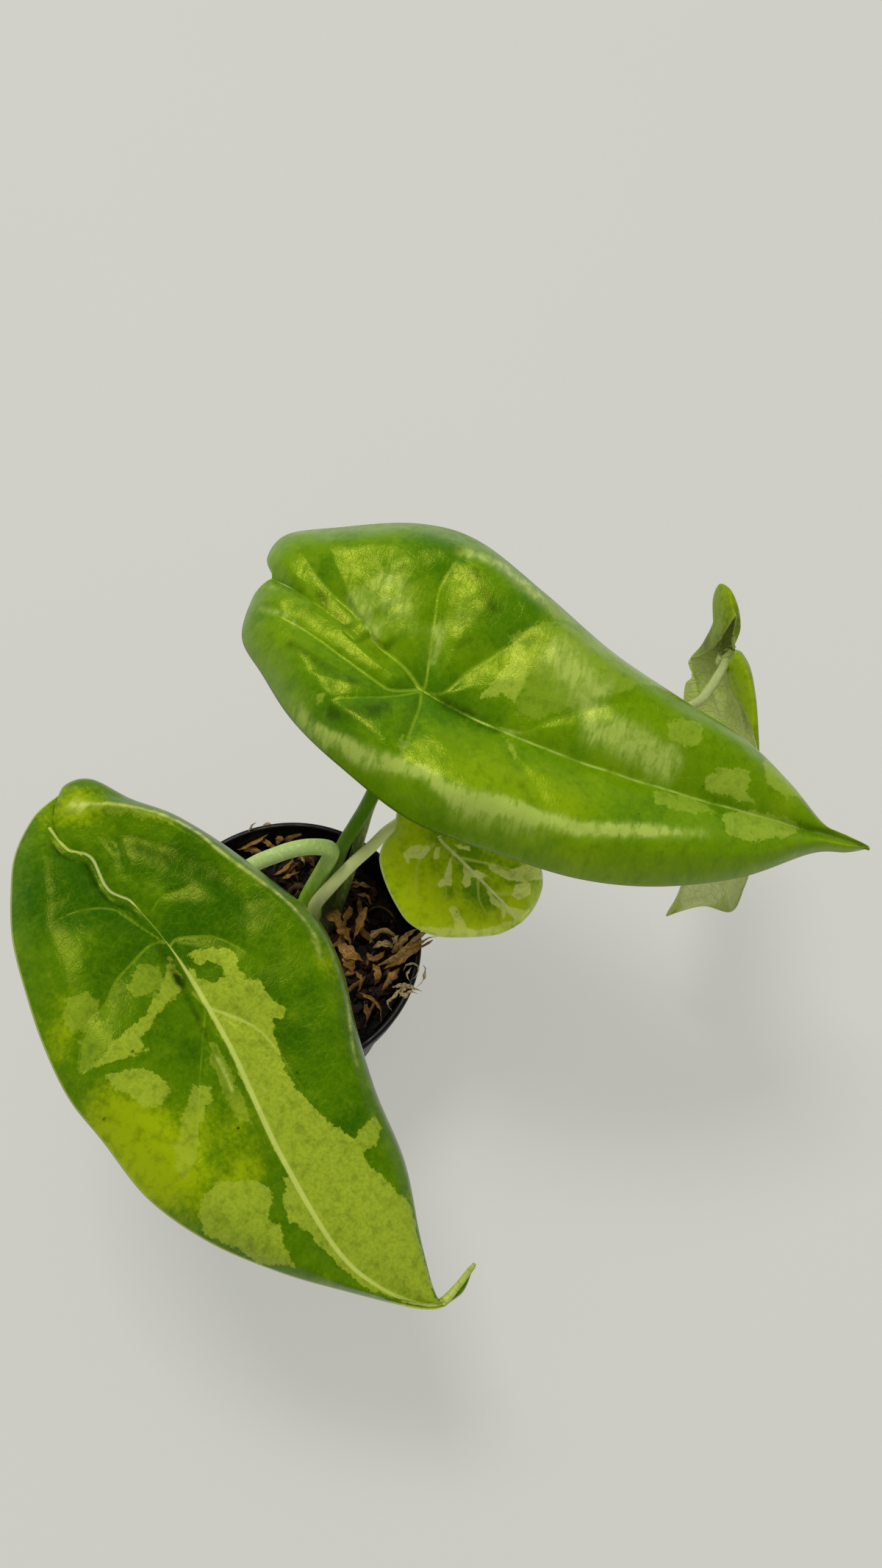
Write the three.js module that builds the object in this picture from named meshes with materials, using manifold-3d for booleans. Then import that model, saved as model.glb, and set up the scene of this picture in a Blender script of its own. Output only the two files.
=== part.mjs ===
// Potted variegated alocasia: a nursery pot filled with mix, and a plant with four stalked leaves.
// Millimetres, +Z up. The pot stands on z = 0 with its axis on the z axis, and -Y is the front.
import * as THREE from 'three';
import { mergeVertices } from 'three/addons/utils/BufferGeometryUtils.js';
import Module from 'manifold-3d';

const wasm = await Module();
wasm.setup();

// Pot, round and thin-walled.
const potHeight = 68;
const rimRadius = 45;
const rimHeight = 2.4;
const rimWidth = 1.8;
const collarRadius = 43.6;
const collarHeight = 11;
const shoulderRadius = 41.6;
const footRadius = 30;
const potWall = 1.2;
const potFloor = 1.6;
const potSides = 48;
const drainHoles = 6;
const drainRadius = 3.5;
const drainCircle = 21;

// Neighbouring pieces stay this far apart.
const clearance = 0.3;

// Potting mix and what lies on it.
const mixLevel = 57;
const mixMound = 3;
const mixRings = 7;
const mixSectors = 32;
const chipCount = 26;
// The moss lies on the mix's outermost rings.
const mossRings = 2;
const mossDepth = 1.8;
const strandCount = 30;
const strandThickness = 1.2;
const mixRadius = shoulderRadius - potWall - 0.9;
const mixBottom = potFloor + clearance;
const mixBottomRadius = footRadius - potWall - 1;
const mossInner = (mixRadius * (mixRings - mossRings)) / mixRings;

// Plant.
const crown = { x: 9.5, y: 16.5, radius: 10.5, top: 60.5, bottom: 34 };
const bladeThickness = 0.8;
const midribKeel = 1.1;
// The blade bulges a little between its side veins, which slant towards the tip.
const veinRelief = 1;
const veinPairs = 7;
const veinSweep = 0.9;

// Places across a half blade, from the midrib at 0 to the margin at 1.
const bladeColumns = [0, 0.14, 0.34, 0.58, 0.82, 1];
// Beyond foldStart a folded half turns over and comes back under itself.
const foldStart = 0.7;
const foldColumns = [0, 0.15, 0.35, 0.55, 0.7, 0.79, 0.89, 1];

// Each blade is drawn flat, in mm from the point where its stalk joins it: [towards the tip, to the left].
// junction, heading, dip and bank place that flat drawing; the other values bend it.
// crest and drop are the rise beside the midrib and the fall of the margin, left side first.
// wave is [height, waves along the margin, start], left side first.
const leaves = {
  front: {
    colour: 0x5c9a12,
    rows: 34,
    junction: [-31.5, -22, 125],
    heading: -49.3,
    dip: 12,
    bank: -6,
    tipDroop: 14,
    tipLength: 130,
    lobeDroop: 4,
    lobeLength: 55,
    tipCurl: { height: 8, from: 0.88 },
    crest: [4.5, 4],
    crestAt: [0.82, 0.62],
    drop: [[8, 5], [6, 6]],
    wave: [[0.8, 2, 0], [1.5, 2.6, 0.25]],
    // The lobes are split as far as this share of the midrib, and their margins meet along the seam.
    split: { to: 0.27, width: 0.8 },
    seam: [[-48.5, -4.2], [-44.8, -4.9], [-41.1, -4.9], [-38.2, -4], [-36.3, -1.9], [-34.4, -0.6],
      [-31.8, -0.5], [-28, -1.5], [-24.2, -2.4], [-21.2, -2.4], [-18.5, -1.2], [-16, 0.2],
      [-13.5, 0.8]],
    midrib: [[-48.5, -4], [-37.5, -3], [-17, 0.5], [6, 1], [37, -3], [72, -10.5], [107.5, -13],
      [131.5, -1], [130.5, 14.5]],
    left: [[-54.5, 2], [-58.9, 8.4], [-56, 16.2], [-43.3, 22.1], [-30.7, 29.8], [-14.2, 35.9],
      [4, 40.7], [21.7, 44.1], [38.7, 40.2], [53.5, 33], [73.5, 25], [95.5, 19], [116.5, 8.5],
      [132, 2.2], [132.3, 8.9], [130.7, 14.3]],
    right: [[-56.5, -0.5], [-54.5, -7.5], [-49, -16.5], [-40, -24.5], [-27, -33], [-11, -39.5],
      [4.5, -44.5], [20.5, -47.5], [36, -47], [56.5, -46.5], [76.5, -40.5], [95, -30.5],
      [110.5, -19.5], [130.5, -3.3], [135.2, 7.7], [131, 14.3]],
  },
  back: {
    colour: 0x5a9a14,
    rows: 34,
    junction: [47, 41.5, 162],
    heading: -14.5,
    dip: 6,
    bank: 8,
    tipDroop: 20,
    tipLength: 140,
    lobeDroop: 8,
    lobeLength: 50,
    crest: [4.5, 5],
    crestAt: [0.72, 0.75],
    drop: [[5, 4], [7, 4]],
    wave: [[1, 2.5, 0.1], [1.2, 2.2, 0.4]],
    midrib: [[-55.5, 26.5], [-29.5, 14], [-5.5, 2], [14, -3.5], [46, -7], [86.5, -6.5], [118, -4],
      [142, -2]],
    left: [[-56, 28], [-59.5, 34.5], [-56, 43.5], [-41, 49], [-17.5, 55.5], [2, 54.5], [26, 43.5],
      [50, 32], [73.5, 25], [96.5, 19], [113, 10], [126.6, 0], [134.2, -1], [141.3, -1.4]],
    right: [[-56.8, 25.3], [-60, 21], [-59.5, 7.5], [-49.5, -3.5], [-36, -16.5], [-19, -27],
      [5.5, -37.5], [32, -39.5], [57.5, -39.5], [81, -34.5], [104.5, -24], [124.2, -9.6],
      [135.1, -5.4], [141.2, -2.2]],
  },
  young: {
    colour: 0x86a823,
    rows: 20,
    junction: [52, 18.5, 107],
    heading: -38,
    dip: 20,
    bank: 4,
    tipDroop: 9,
    tipLength: 38,
    lobeDroop: 3,
    lobeLength: 16,
    crest: [2.5, 2.5],
    crestAt: [0.55, 0.6],
    drop: [[4, 3], [5, 4]],
    wave: [[0.5, 2, 0.1], [0.6, 2, 0.4]],
    midrib: [[-10.5, 4], [-2.5, 0.5], [8.5, 0], [21.5, 0], [32.5, 1], [37.3, -2]],
    left: [[-11, 9], [-6, 13], [1.5, 16], [12, 18.5], [21.5, 20], [29, 19.5], [34, 16], [36.5, 11.5],
      [37.5, 6.5], [37.5, 2], [37.5, 0.5], [37.3, -1.3]],
    right: [[-15.5, 4], [-17.5, 0], [-14.5, -5.5], [-14, -11], [-11.5, -16.5], [-5.5, -21],
      [1.5, -24], [9, -25.5], [17.5, -23], [25.5, -16.5], [33, -8.5], [36.7, -2.6]],
  },
  folded: {
    colour: 0x9db35a,
    rows: 34,
    junction: [147.5, 84, 112],
    heading: -101,
    dip: 50.8,
    bank: -121,
    tipDroop: 5,
    tipLength: 90,
    lobeDroop: 2,
    lobeLength: 25,
    crest: [1.5, 2],
    crestAt: [0.5, 0.5],
    drop: [[4, 2], [5, 3]],
    wave: [[0.4, 2, 0.1], [0.8, 2, 0.4]],
    midrib: [[-4.5, -1.5], [1, 1], [9.5, 3.5], [20, 9], [41.5, 6.5], [77, -7], [96, -3.5]],
    left: [[-4.1, -2.8], [-9.5, -2.6], [-17.3, -4.6], [-23.6, -0.7], [-24.3, 6.4], [-18.6, 9.7],
      [-13.2, 7.4], [-2.2, 11.7], [7.4, 18.8], [12.1, 15.6], [21.2, 17.7], [62, 2], [82, -7],
      [95.3, -3]],
    right: [[-4.3, -3.2], [-5.8, -8], [-4.4, -13.5], [-2, -17.9], [2.6, -21.9], [7.8, -25.4],
      [14.8, -29.4], [23.2, -33.9], [43, -41.5], [55.5, -43.5], [64, -42], [75, -38], [82, -21.5],
      [95.3, -4.2]],
    // How far each edge point's margin is turned back: [towards the tip, to the left, down], left side first.
    fold: [
      [[0, 0, 0], [0, 0, 0], [-0.2, -2, 1.6], [7.2, -6.1, 1.6], [12.6, -11.3, 1.6], [11.9, -10.7, 1.6],
        [11.1, -3.8, 1.6], [5, -1.5, 1.6], [0, 0, 0], [0, 0, 0], [0, 0, 0], [0, 0, 0], [0, 0, 0],
        [0, 0, 0]],
      [[0, 0, 0], [0.3, -1, 2], [2.6, 5.8, 2], [4.2, 8.3, 2], [4.1, 7.3, 2], [1.9, 3.6, 2],
        [0.2, -0.5, 2], [0, 0, 0], [0, 0, 0], [0, 0, 0], [0, 0, 0], [0, 0, 0], [0, 0, 0], [0, 0, 0]],
    ],
  },
};

// Routes of the stalks, from inside the stem base to just under each blade's junction.
const stalks = {
  front: {
    radius: [2.9, 2.4],
    route: [[3.5, 18, 54], [7, 19.5, 66], [11.5, 20, 80], [15, 20, 92], [16, 20, 98],
      [14, 20.5, 99.5], [9, 20, 101], [4.5, 19, 101.5], [-0.5, 17, 102], [-9.5, 12, 103],
      [-21.5, -2, 109], [-28.5, -15.5, 118], [-31, -22.5, 124]],
  },
  back: {
    radius: [2.6, 2.2],
    route: [[10.5, 19, 52], [14, 22.5, 70], [19, 25, 90], [24, 26.5, 104], [29.5, 28, 120],
      [38, 36, 142], [45.5, 42.5, 161]],
  },
  young: {
    radius: [2.5, 1.8],
    route: [[8, 12.8, 53], [8.3, 13, 62], [9.5, 13.5, 70], [15.5, 15, 82], [22.5, 19.5, 89],
      [28.5, 24, 92], [34.5, 28.5, 96], [42, 31.5, 99], [48, 27.5, 102], [52, 18.5, 107]],
  },
  folded: {
    radius: [1.9, 1.5],
    route: [[14.5, 15, 54], [18, 18, 68], [21, 21, 79], [24, 26.5, 88], [25.5, 28.5, 94],
      [30.5, 35, 109], [42.5, 42, 126], [65, 43, 138], [92, 43, 141], [115, 46, 138],
      [131, 54, 134], [136.5, 61, 131], [141.5, 70.5, 125], [146.5, 82, 114]],
  },
};
const stalkSides = 8;
const stalkStep = 6;
// How far a stalk runs on past its junction before the blade's underside trims it.
const stalkOverrun = 4;
const cutterReach = 18;
const cutterHeight = 9;

// Colours.
const potColour = 0x15161a;
const mixColour = 0x2a170e;
const mossColour = 0xa9895a;
const crownColour = 0x7c9a4a;
const stalkColour = 0x8fb060;

function seededRandom(seed) {
  let state = seed;
  return () => {
    state = (state + 0x6d2b79f5) | 0;
    let t = Math.imul(state ^ (state >>> 15), 1 | state);
    t = (t + Math.imul(t ^ (t >>> 7), 61 | t)) ^ t;
    return ((t ^ (t >>> 14)) >>> 0) / 4294967296;
  };
}

const toRadians = THREE.MathUtils.degToRad;

// Closed three.js geometry to a solid, and back.
function solidOf(geometry) {
  const bare = geometry.index ? geometry.clone() : geometry.clone().toNonIndexed();
  bare.deleteAttribute('normal');
  bare.deleteAttribute('uv');
  const merged = mergeVertices(bare, 1e-4);
  const corners = merged.index.array;
  const kept = [];
  for (let i = 0; i < corners.length; i += 3) {
    const [a, b, c] = [corners[i], corners[i + 1], corners[i + 2]];
    if (a !== b && b !== c && c !== a) kept.push(a, b, c);
  }
  return new wasm.Manifold(new wasm.Mesh({
    numProp: 3,
    vertProperties: new Float32Array(merged.attributes.position.array),
    triVerts: new Uint32Array(kept),
  }));
}

function geometryOf(solid) {
  const mesh = solid.getMesh();
  const geometry = new THREE.BufferGeometry();
  geometry.setAttribute('position', new THREE.BufferAttribute(new Float32Array(mesh.vertProperties), 3));
  geometry.setIndex(new THREE.BufferAttribute(new Uint32Array(mesh.triVerts), 1));
  return geometry;
}

function indexed(points, triangles) {
  const geometry = new THREE.BufferGeometry();
  geometry.setAttribute('position', new THREE.Float32BufferAttribute(points.flatMap((p) => p.toArray()), 3));
  geometry.setIndex(triangles.flat());
  return geometry;
}

function lathe(profile, sides) {
  const outline = profile.map(([radius, z]) => new THREE.Vector2(radius, z));
  return new THREE.LatheGeometry(outline, sides).rotateX(Math.PI / 2);
}

function pot() {
  const collarFoot = potHeight - collarHeight;
  const lipFoot = potHeight - rimHeight;
  const innerRim = rimRadius - rimWidth;
  const shell = lathe([
    [0, 0],
    [footRadius - 1, 0],
    [footRadius, 1],
    [shoulderRadius, collarFoot - 1],
    [collarRadius - 0.6, collarFoot],
    [collarRadius, lipFoot - 0.6],
    [rimRadius, lipFoot],
    [rimRadius, potHeight - 0.5],
    [rimRadius - 0.5, potHeight],
    [innerRim + 0.4, potHeight],
    [innerRim, potHeight - 0.5],
    [collarRadius - 0.6 - potWall, collarFoot + 1],
    [shoulderRadius - potWall, collarFoot - 1],
    [footRadius - potWall, potFloor],
    [0, potFloor],
  ], potSides);
  let solid = solidOf(shell);
  for (let i = 0; i < drainHoles; i += 1) {
    const angle = (i / drainHoles) * 2 * Math.PI;
    const drill = new THREE.CylinderGeometry(drainRadius, drainRadius, potFloor * 4, 16).rotateX(Math.PI / 2);
    drill.translate(drainCircle * Math.cos(angle), drainCircle * Math.sin(angle), 0);
    solid = solid.subtract(solidOf(drill));
  }
  return geometryOf(solid);
}

// Height of the mix: level, with a mound round the stem and low lumps.
function mixHeight(x, y) {
  const fromCrown = (x - crown.x) ** 2 + (y - crown.y) ** 2;
  const lumps = Math.sin(x * 0.45 + 1) * Math.cos(y * 0.38) + 0.6 * Math.sin(x * 0.21 - y * 0.33);
  return mixLevel + mixMound * Math.exp(-fromCrown / 300) + 0.7 * lumps;
}

// A round body with the mix's uneven top, raised by lift.
function mixBody(lift, radius, bottomRadius, bottom) {
  const points = [new THREE.Vector3(0, 0, mixHeight(0, 0) + lift)];
  const triangles = [];
  for (let ring = 1; ring <= mixRings; ring += 1) {
    for (let i = 0; i < mixSectors; i += 1) {
      const angle = (i / mixSectors) * 2 * Math.PI;
      const r = (radius * ring) / mixRings;
      const x = r * Math.cos(angle);
      const y = r * Math.sin(angle);
      points.push(new THREE.Vector3(x, y, mixHeight(x, y) + lift));
    }
  }
  const last = points.length - mixSectors;
  for (let i = 0; i < mixSectors; i += 1) {
    const angle = (i / mixSectors) * 2 * Math.PI;
    points.push(new THREE.Vector3(bottomRadius * Math.cos(angle), bottomRadius * Math.sin(angle), bottom));
  }
  points.push(new THREE.Vector3(0, 0, bottom));
  for (let i = 0; i < mixSectors; i += 1) {
    const next = (i + 1) % mixSectors;
    triangles.push([0, 1 + i, 1 + next]);
    for (let ring = 0; ring < mixRings; ring += 1) {
      const inner = 1 + ring * mixSectors;
      const outer = inner + mixSectors;
      triangles.push([inner + i, outer + i, outer + next], [inner + i, outer + next, inner + next]);
    }
    triangles.push([last + mixSectors + i, points.length - 1, last + mixSectors + next]);
  }
  return indexed(points, triangles);
}

// The stem base: a short upright stump, sunk in the mix. grow makes the hole it stands in.
function crownBody(grow) {
  const { x, y, radius, top, bottom } = crown;
  const profile = [
    [0, bottom - grow],
    [radius * 0.5 + grow, bottom - grow],
    [radius * 0.85 + grow, bottom + 6],
    [radius + grow, bottom + 14],
    [radius + grow, top - 4],
    [radius * 0.8 + grow, top - 0.8 + grow],
    [0, top + grow],
  ];
  return lathe(profile, 20).translate(x, y, 0);
}

const smoothPath = (route) => (
  new THREE.CatmullRomCurve3(route.map((p) => new THREE.Vector3(...p)), false, 'catmullrom', 0.5)
);

// A round tube along a route, tapering from one radius to the other.
function tube(route, radii, sides, step, grow = 0) {
  const path = smoothPath(route);
  const steps = Math.ceil(path.getLength() / step);
  const frames = path.computeFrenetFrames(steps, false);
  const points = [];
  const triangles = [];
  for (let i = 0; i <= steps; i += 1) {
    const centre = path.getPointAt(i / steps);
    const radius = THREE.MathUtils.lerp(radii[0], radii[1], i / steps) + grow;
    for (let j = 0; j < sides; j += 1) {
      const angle = (j / sides) * 2 * Math.PI;
      points.push(centre.clone()
        .addScaledVector(frames.normals[i], radius * Math.cos(angle))
        .addScaledVector(frames.binormals[i], radius * Math.sin(angle)));
    }
  }
  const start = points.push(path.getPointAt(0)) - 1;
  const end = points.push(path.getPointAt(1)) - 1;
  for (let j = 0; j < sides; j += 1) {
    const next = (j + 1) % sides;
    for (let i = 0; i < steps; i += 1) {
      const a = i * sides;
      const b = a + sides;
      triangles.push([a + j, a + next, b + next], [a + j, b + next, b + j]);
    }
    triangles.push([start, next, j], [end, steps * sides + j, steps * sides + next]);
  }
  return indexed(points, triangles);
}

// A leaf's own directions: towards the tip, to the left, and out of its upper face.
function leafFrame(leaf) {
  const heading = toRadians(leaf.heading);
  const dip = toRadians(leaf.dip);
  const bank = toRadians(leaf.bank);
  const along = new THREE.Vector3(
    Math.cos(dip) * Math.cos(heading),
    Math.cos(dip) * Math.sin(heading),
    -Math.sin(dip),
  );
  const level = new THREE.Vector3(-Math.sin(heading), Math.cos(heading), 0);
  const across = level.clone().multiplyScalar(Math.cos(bank))
    .addScaledVector(along.clone().cross(level), Math.sin(bank));
  const up = along.clone().cross(across);
  return { along, across, up };
}

const curveOf = (points) => new THREE.SplineCurve(points.map(([a, b]) => new THREE.Vector2(a, b)));

// Rise of the blade above its flat drawing: a valley at the midrib, a crest, and a margin that falls.
function sectionHeight(leaf, s, w, side) {
  const crest = leaf.crest[side];
  const crestAt = leaf.crestAt[side];
  const drop = THREE.MathUtils.lerp(leaf.drop[side][0], leaf.drop[side][1], s);
  const [height, waves, start] = leaf.wave[side];
  const taper = Math.max(0, Math.sin(Math.PI * s)) ** 0.6;
  const rise = w < crestAt
    ? crest * Math.sin((w / crestAt) * (Math.PI / 2)) ** 1.3
    : crest - (crest + drop) * ((w - crestAt) / (1 - crestAt)) ** 1.8;
  const bulge = veinRelief * Math.sin(Math.PI * w) * Math.sin(Math.PI * (veinPairs * s - veinSweep * w)) ** 2;
  return taper * (rise + bulge + height * Math.sin(2 * Math.PI * (waves * s + start)) * w ** 3);
}

// The whole blade's arch, and the drip tip that curls up.
function archHeight(leaf, s, a) {
  const arch = a > 0
    ? -leaf.tipDroop * (a / leaf.tipLength) ** 2
    : -leaf.lobeDroop * (a / leaf.lobeLength) ** 2;
  const curl = leaf.tipCurl;
  if (!curl || s < curl.from) return arch;
  return arch + curl.height * ((s - curl.from) / (1 - curl.from)) ** 2;
}

// A point of the upper face: s from the sinus (0) to the tip (1), w from the midrib (0) to the margin (1).
function bladePoint(leaf, shape, s, w, side) {
  const split = leaf.split;
  const centre = split && s < split.to ? shape.seam.getPoint(s / split.to) : shape.midrib.getPoint(s);
  const edge = (side === 0 ? shape.left : shape.right).getPoint(s);
  const reach = edge.clone().sub(centre);
  const fold = shape.fold?.[side];
  const out = fold ? Math.min(1, w / foldStart) : w;
  const turned = fold ? Math.max(0, (w - foldStart) / (1 - foldStart)) : 0;
  const flat = centre.clone().addScaledVector(reach, out);
  if (split && s < split.to) {
    flat.y += (side === 0 ? 0.5 : -0.5) * split.width * (1 - s / split.to) * (1 - out);
  }
  let height = archHeight(leaf, s, flat.x) + sectionHeight(leaf, s, out, side);
  if (turned > 0) {
    const back = fold.getPoint(s);
    flat.add(new THREE.Vector2(back.x, back.y).multiplyScalar(turned ** 2));
    height -= back.z * (1 - (1 - turned) ** 2);
  }
  return new THREE.Vector3(...leaf.junction)
    .addScaledVector(shape.frame.along, flat.x)
    .addScaledVector(shape.frame.across, flat.y)
    .addScaledVector(shape.frame.up, height);
}

function leafShape(leaf) {
  return {
    frame: leafFrame(leaf),
    midrib: curveOf(leaf.midrib),
    seam: leaf.seam && curveOf(leaf.seam),
    left: curveOf(leaf.left),
    right: curveOf(leaf.right),
    fold: leaf.fold?.map(smoothPath),
  };
}

// Where along the midrib the stalk joins: the place nearest the drawing's origin.
function junctionPlace(shape) {
  let best = 0;
  for (let s = 0; s <= 1; s += 0.005) {
    if (shape.midrib.getPoint(s).length() < shape.midrib.getPoint(best).length()) best = s;
  }
  return best;
}

// The upper face as one open sheet over rows of s, both halves sharing the midrib where it isn't split.
function bladeSheet(leaf) {
  const shape = leafShape(leaf);
  const junction = junctionPlace(shape);
  const points = [];
  const keel = [];
  const isTurned = [];
  const middle = [];
  const grids = [0, 1].map((side) => {
    const columns = leaf.fold ? foldColumns : bladeColumns;
    return Array.from({ length: leaf.rows + 1 }, (_, row) => {
      const s = row / leaf.rows;
      return columns.map((w, column) => {
        const shared = column === 0 && !(leaf.split && s < leaf.split.to);
        if (shared && middle[row] !== undefined) return middle[row];
        const index = points.push(bladePoint(leaf, shape, s, w, side)) - 1;
        keel.push(shared ? midribKeel * Math.min(1, s / junction) * (1 - s) : 0);
        isTurned.push(Boolean(leaf.fold) && w > foldStart);
        if (shared) middle[row] = index;
        return index;
      });
    });
  });
  const facesOf = (row, next, side) => next.slice(1).flatMap((c, j) => {
    const [a, b, d] = [row[j], next[j], row[j + 1]];
    return side === 0 ? [[a, b, c], [a, c, d]] : [[a, c, b], [a, d, c]];
  });
  const triangles = grids.flatMap((grid, side) => (
    grid.slice(1).flatMap((next, i) => facesOf(grid[i], next, side))
  ));
  const normals = points.map(() => new THREE.Vector3());
  for (const [a, b, c] of triangles) {
    const edge = points[b].clone().sub(points[a]);
    const face = edge.cross(points[c].clone().sub(points[a]));
    for (const i of [a, b, c]) normals[i].add(face);
  }
  normals.forEach((normal) => normal.normalize());
  return { points, triangles, keel, normals, isTurned };
}

// Gives a sheet its thickness: the same triangles on both faces, and a wall round every open edge.
function thicken({ points, triangles, keel, normals }, above, below) {
  const top = points.map((p, i) => p.clone().addScaledVector(normals[i], above));
  const bottom = points.map((p, i) => p.clone().addScaledVector(normals[i], -below - keel[i]));
  const n = points.length;
  const faces = triangles.flatMap(([a, b, c]) => [[a, b, c], [n + a, n + c, n + b]]);
  const edges = new Set(triangles.flatMap(([a, b, c]) => [`${a} ${b}`, `${b} ${c}`, `${c} ${a}`]));
  for (const edge of edges) {
    const [a, b] = edge.split(' ').map(Number);
    if (!edges.has(`${b} ${a}`)) faces.push([b, a, n + a], [b, n + a, n + b]);
  }
  return indexed([...top, ...bottom], faces);
}

const blade = (leaf) => thicken(bladeSheet(leaf), 0, bladeThickness);

// What the blade takes away from its stalk: all above its face round the junction, and its own space.
function junctionCutters(leaf) {
  const sheet = bladeSheet(leaf);
  const junction = new THREE.Vector3(...leaf.junction);
  const isNear = (i) => sheet.points[i].distanceTo(junction) < cutterReach;
  const near = sheet.triangles.filter((corners) => corners.every(isNear));
  const flat = near.filter((corners) => !corners.some((i) => sheet.isTurned[i]));
  return [
    thicken({ ...sheet, triangles: flat }, cutterHeight, bladeThickness + clearance),
    thicken({ ...sheet, triangles: near }, clearance, bladeThickness + clearance),
  ];
}

function stalk(name, grow = 0) {
  const { radius, route } = stalks[name];
  const end = new THREE.Vector3(...route.at(-1));
  const way = end.clone().sub(new THREE.Vector3(...route.at(-2))).normalize();
  const beyond = end.addScaledVector(way, stalkOverrun).toArray();
  return tube([...route, beyond], radius, stalkSides, stalkStep, grow);
}

// A flat four-sided strand along three points, wide in the middle and pointed at its free end.
function strand(from, bend, to, width) {
  const path = new THREE.QuadraticBezierCurve3(from, bend, to);
  const points = [];
  const triangles = [];
  const shares = [0.7, 1, 0.8, 0.25];
  const steps = shares.length - 1;
  shares.forEach((share, i) => {
    const centre = path.getPoint(i / steps);
    const way = path.getTangent(i / steps);
    const flat = new THREE.Vector3(-way.y, way.x, 0).normalize();
    const up = way.clone().cross(flat).normalize().negate();
    const half = (width * share) / 2;
    points.push(centre.clone().addScaledVector(flat, half));
    points.push(centre.clone().addScaledVector(up, strandThickness / 2));
    points.push(centre.clone().addScaledVector(flat, -half));
    points.push(centre.clone().addScaledVector(up, -strandThickness / 2));
  });
  for (let i = 0; i < steps; i += 1) {
    for (let j = 0; j < 4; j += 1) {
      const a = i * 4 + j;
      const b = i * 4 + ((j + 1) % 4);
      triangles.push([a, b + 4, b], [a, a + 4, b + 4]);
    }
  }
  const end = steps * 4;
  triangles.push([0, 1, 2], [0, 2, 3], [end, end + 2, end + 1], [end, end + 3, end + 2]);
  return indexed(points, triangles);
}

const polar = (radius, angle, z) => new THREE.Vector3(radius * Math.cos(angle), radius * Math.sin(angle), z);

// A thin uneven ring of moss on the mix's outer part, as a mat that the strands are rooted in.
function mossMat() {
  const points = [];
  const triangles = [];
  const rings = mossRings + 1;
  for (let i = 0; i < mixSectors; i += 1) {
    const angle = (i / mixSectors) * 2 * Math.PI;
    for (let k = 0; k < rings; k += 1) {
      const place = polar((mixRadius * (mixRings - mossRings + k)) / mixRings, angle, 0);
      const floor = mixHeight(place.x, place.y) + clearance + 0.02;
      const depth = mossDepth * (1 - 0.3 * Math.cos(3 * angle + k) - 0.2 * Math.sin(7 * angle + 2 * k));
      points.push(place.clone().setZ(floor), place.clone().setZ(floor + depth));
    }
  }
  for (let i = 0; i < mixSectors; i += 1) {
    const here = i * rings * 2;
    const next = ((i + 1) % mixSectors) * rings * 2;
    for (let k = 0; k < mossRings * 2; k += 2) {
      const [a, b, c, d] = [here + k, here + k + 2, next + k + 2, next + k];
      triangles.push([a, c, b], [a, d, c], [a + 1, b + 1, c + 1], [a + 1, c + 1, d + 1]);
    }
    const outer = mossRings * 2;
    triangles.push([here, here + 1, next + 1], [here, next + 1, next]);
    triangles.push([here + outer, next + outer + 1, here + outer + 1]);
    triangles.push([here + outer, next + outer, next + outer + 1]);
  }
  return indexed(points, triangles);
}

// Seeded strands: each is rooted in the mat and lies over the mix or leans on the rim's inner side.
function mossStrands() {
  const random = seededRandom(11);
  const strands = [];
  for (let i = 0; i < strandCount; i += 1) {
    const angle = (i / strandCount) * 2 * Math.PI + 0.1 * random();
    const root = polar(THREE.MathUtils.lerp(mossInner + 2, mixRadius - 2, random()), angle, 0);
    root.z = mixHeight(root.x, root.y) + mossDepth * 0.6;
    const turn = angle + (random() - 0.5) * 1.6 + (random() < 0.6 ? Math.PI : Math.PI / 2);
    const length = THREE.MathUtils.lerp(10, 19, random());
    const tip = root.clone().add(polar(length, turn, 0));
    const reach = Math.hypot(tip.x, tip.y);
    const most = mixRadius - 2;
    if (reach > most) tip.multiplyScalar(most / reach);
    tip.z = mixHeight(tip.x, tip.y) + THREE.MathUtils.lerp(1.6, 6, random());
    const bend = root.clone().lerp(tip, 0.5);
    bend.z = Math.max(root.z, tip.z) + THREE.MathUtils.lerp(0.5, 3, random());
    strands.push(strand(root, bend, tip, THREE.MathUtils.lerp(2.2, 4, random())));
  }
  return strands;
}

// Strands that hang over the rim at the right: [angle, how far out, height of the free end, width].
const rimStrands = [[4, 50, 67.4, 3.6], [-3, 48.5, 69.5, 3], [-17, 49, 68, 2.4], [-25, 48, 71, 2.2]];

function overRim([degrees, out, height, width]) {
  const angle = toRadians(degrees);
  const root = polar(mixRadius - 3, angle, mixLevel + 1.5);
  const bend = polar(rimRadius - 3, angle, potHeight + 9);
  const tip = polar(out, angle - 0.08, height + 1.5);
  return strand(root, bend, tip, width);
}

// Bark chips: flat blocks with uneven corners, half sunk in the mix.
function barkChips() {
  const random = seededRandom(5);
  const chips = [];
  while (chips.length < chipCount) {
    const place = polar(31 * Math.sqrt(random()), 2 * Math.PI * random(), 0);
    const size = [6 + 6 * random(), 3.5 + 3 * random(), 2 + 1.2 * random()];
    const turn = new THREE.Euler(0.7 * (random() - 0.5), 0.7 * (random() - 0.5), Math.PI * random());
    const uneven = Array.from({ length: 8 }, () => 0.75 + 0.25 * random());
    if (Math.hypot(place.x - crown.x, place.y - crown.y) < crown.radius + 7) continue;
    const block = new THREE.BoxGeometry(...size).deleteAttribute('normal').deleteAttribute('uv');
    const chip = mergeVertices(block);
    const corners = chip.attributes.position;
    for (let i = 0; i < corners.count; i += 1) {
      corners.setXYZ(i, corners.getX(i) * uneven[i], corners.getY(i) * uneven[i], corners.getZ(i));
    }
    place.z = mixHeight(place.x, place.y) + 0.4;
    chips.push({ geometry: chip, turn, place });
  }
  return chips;
}

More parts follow.
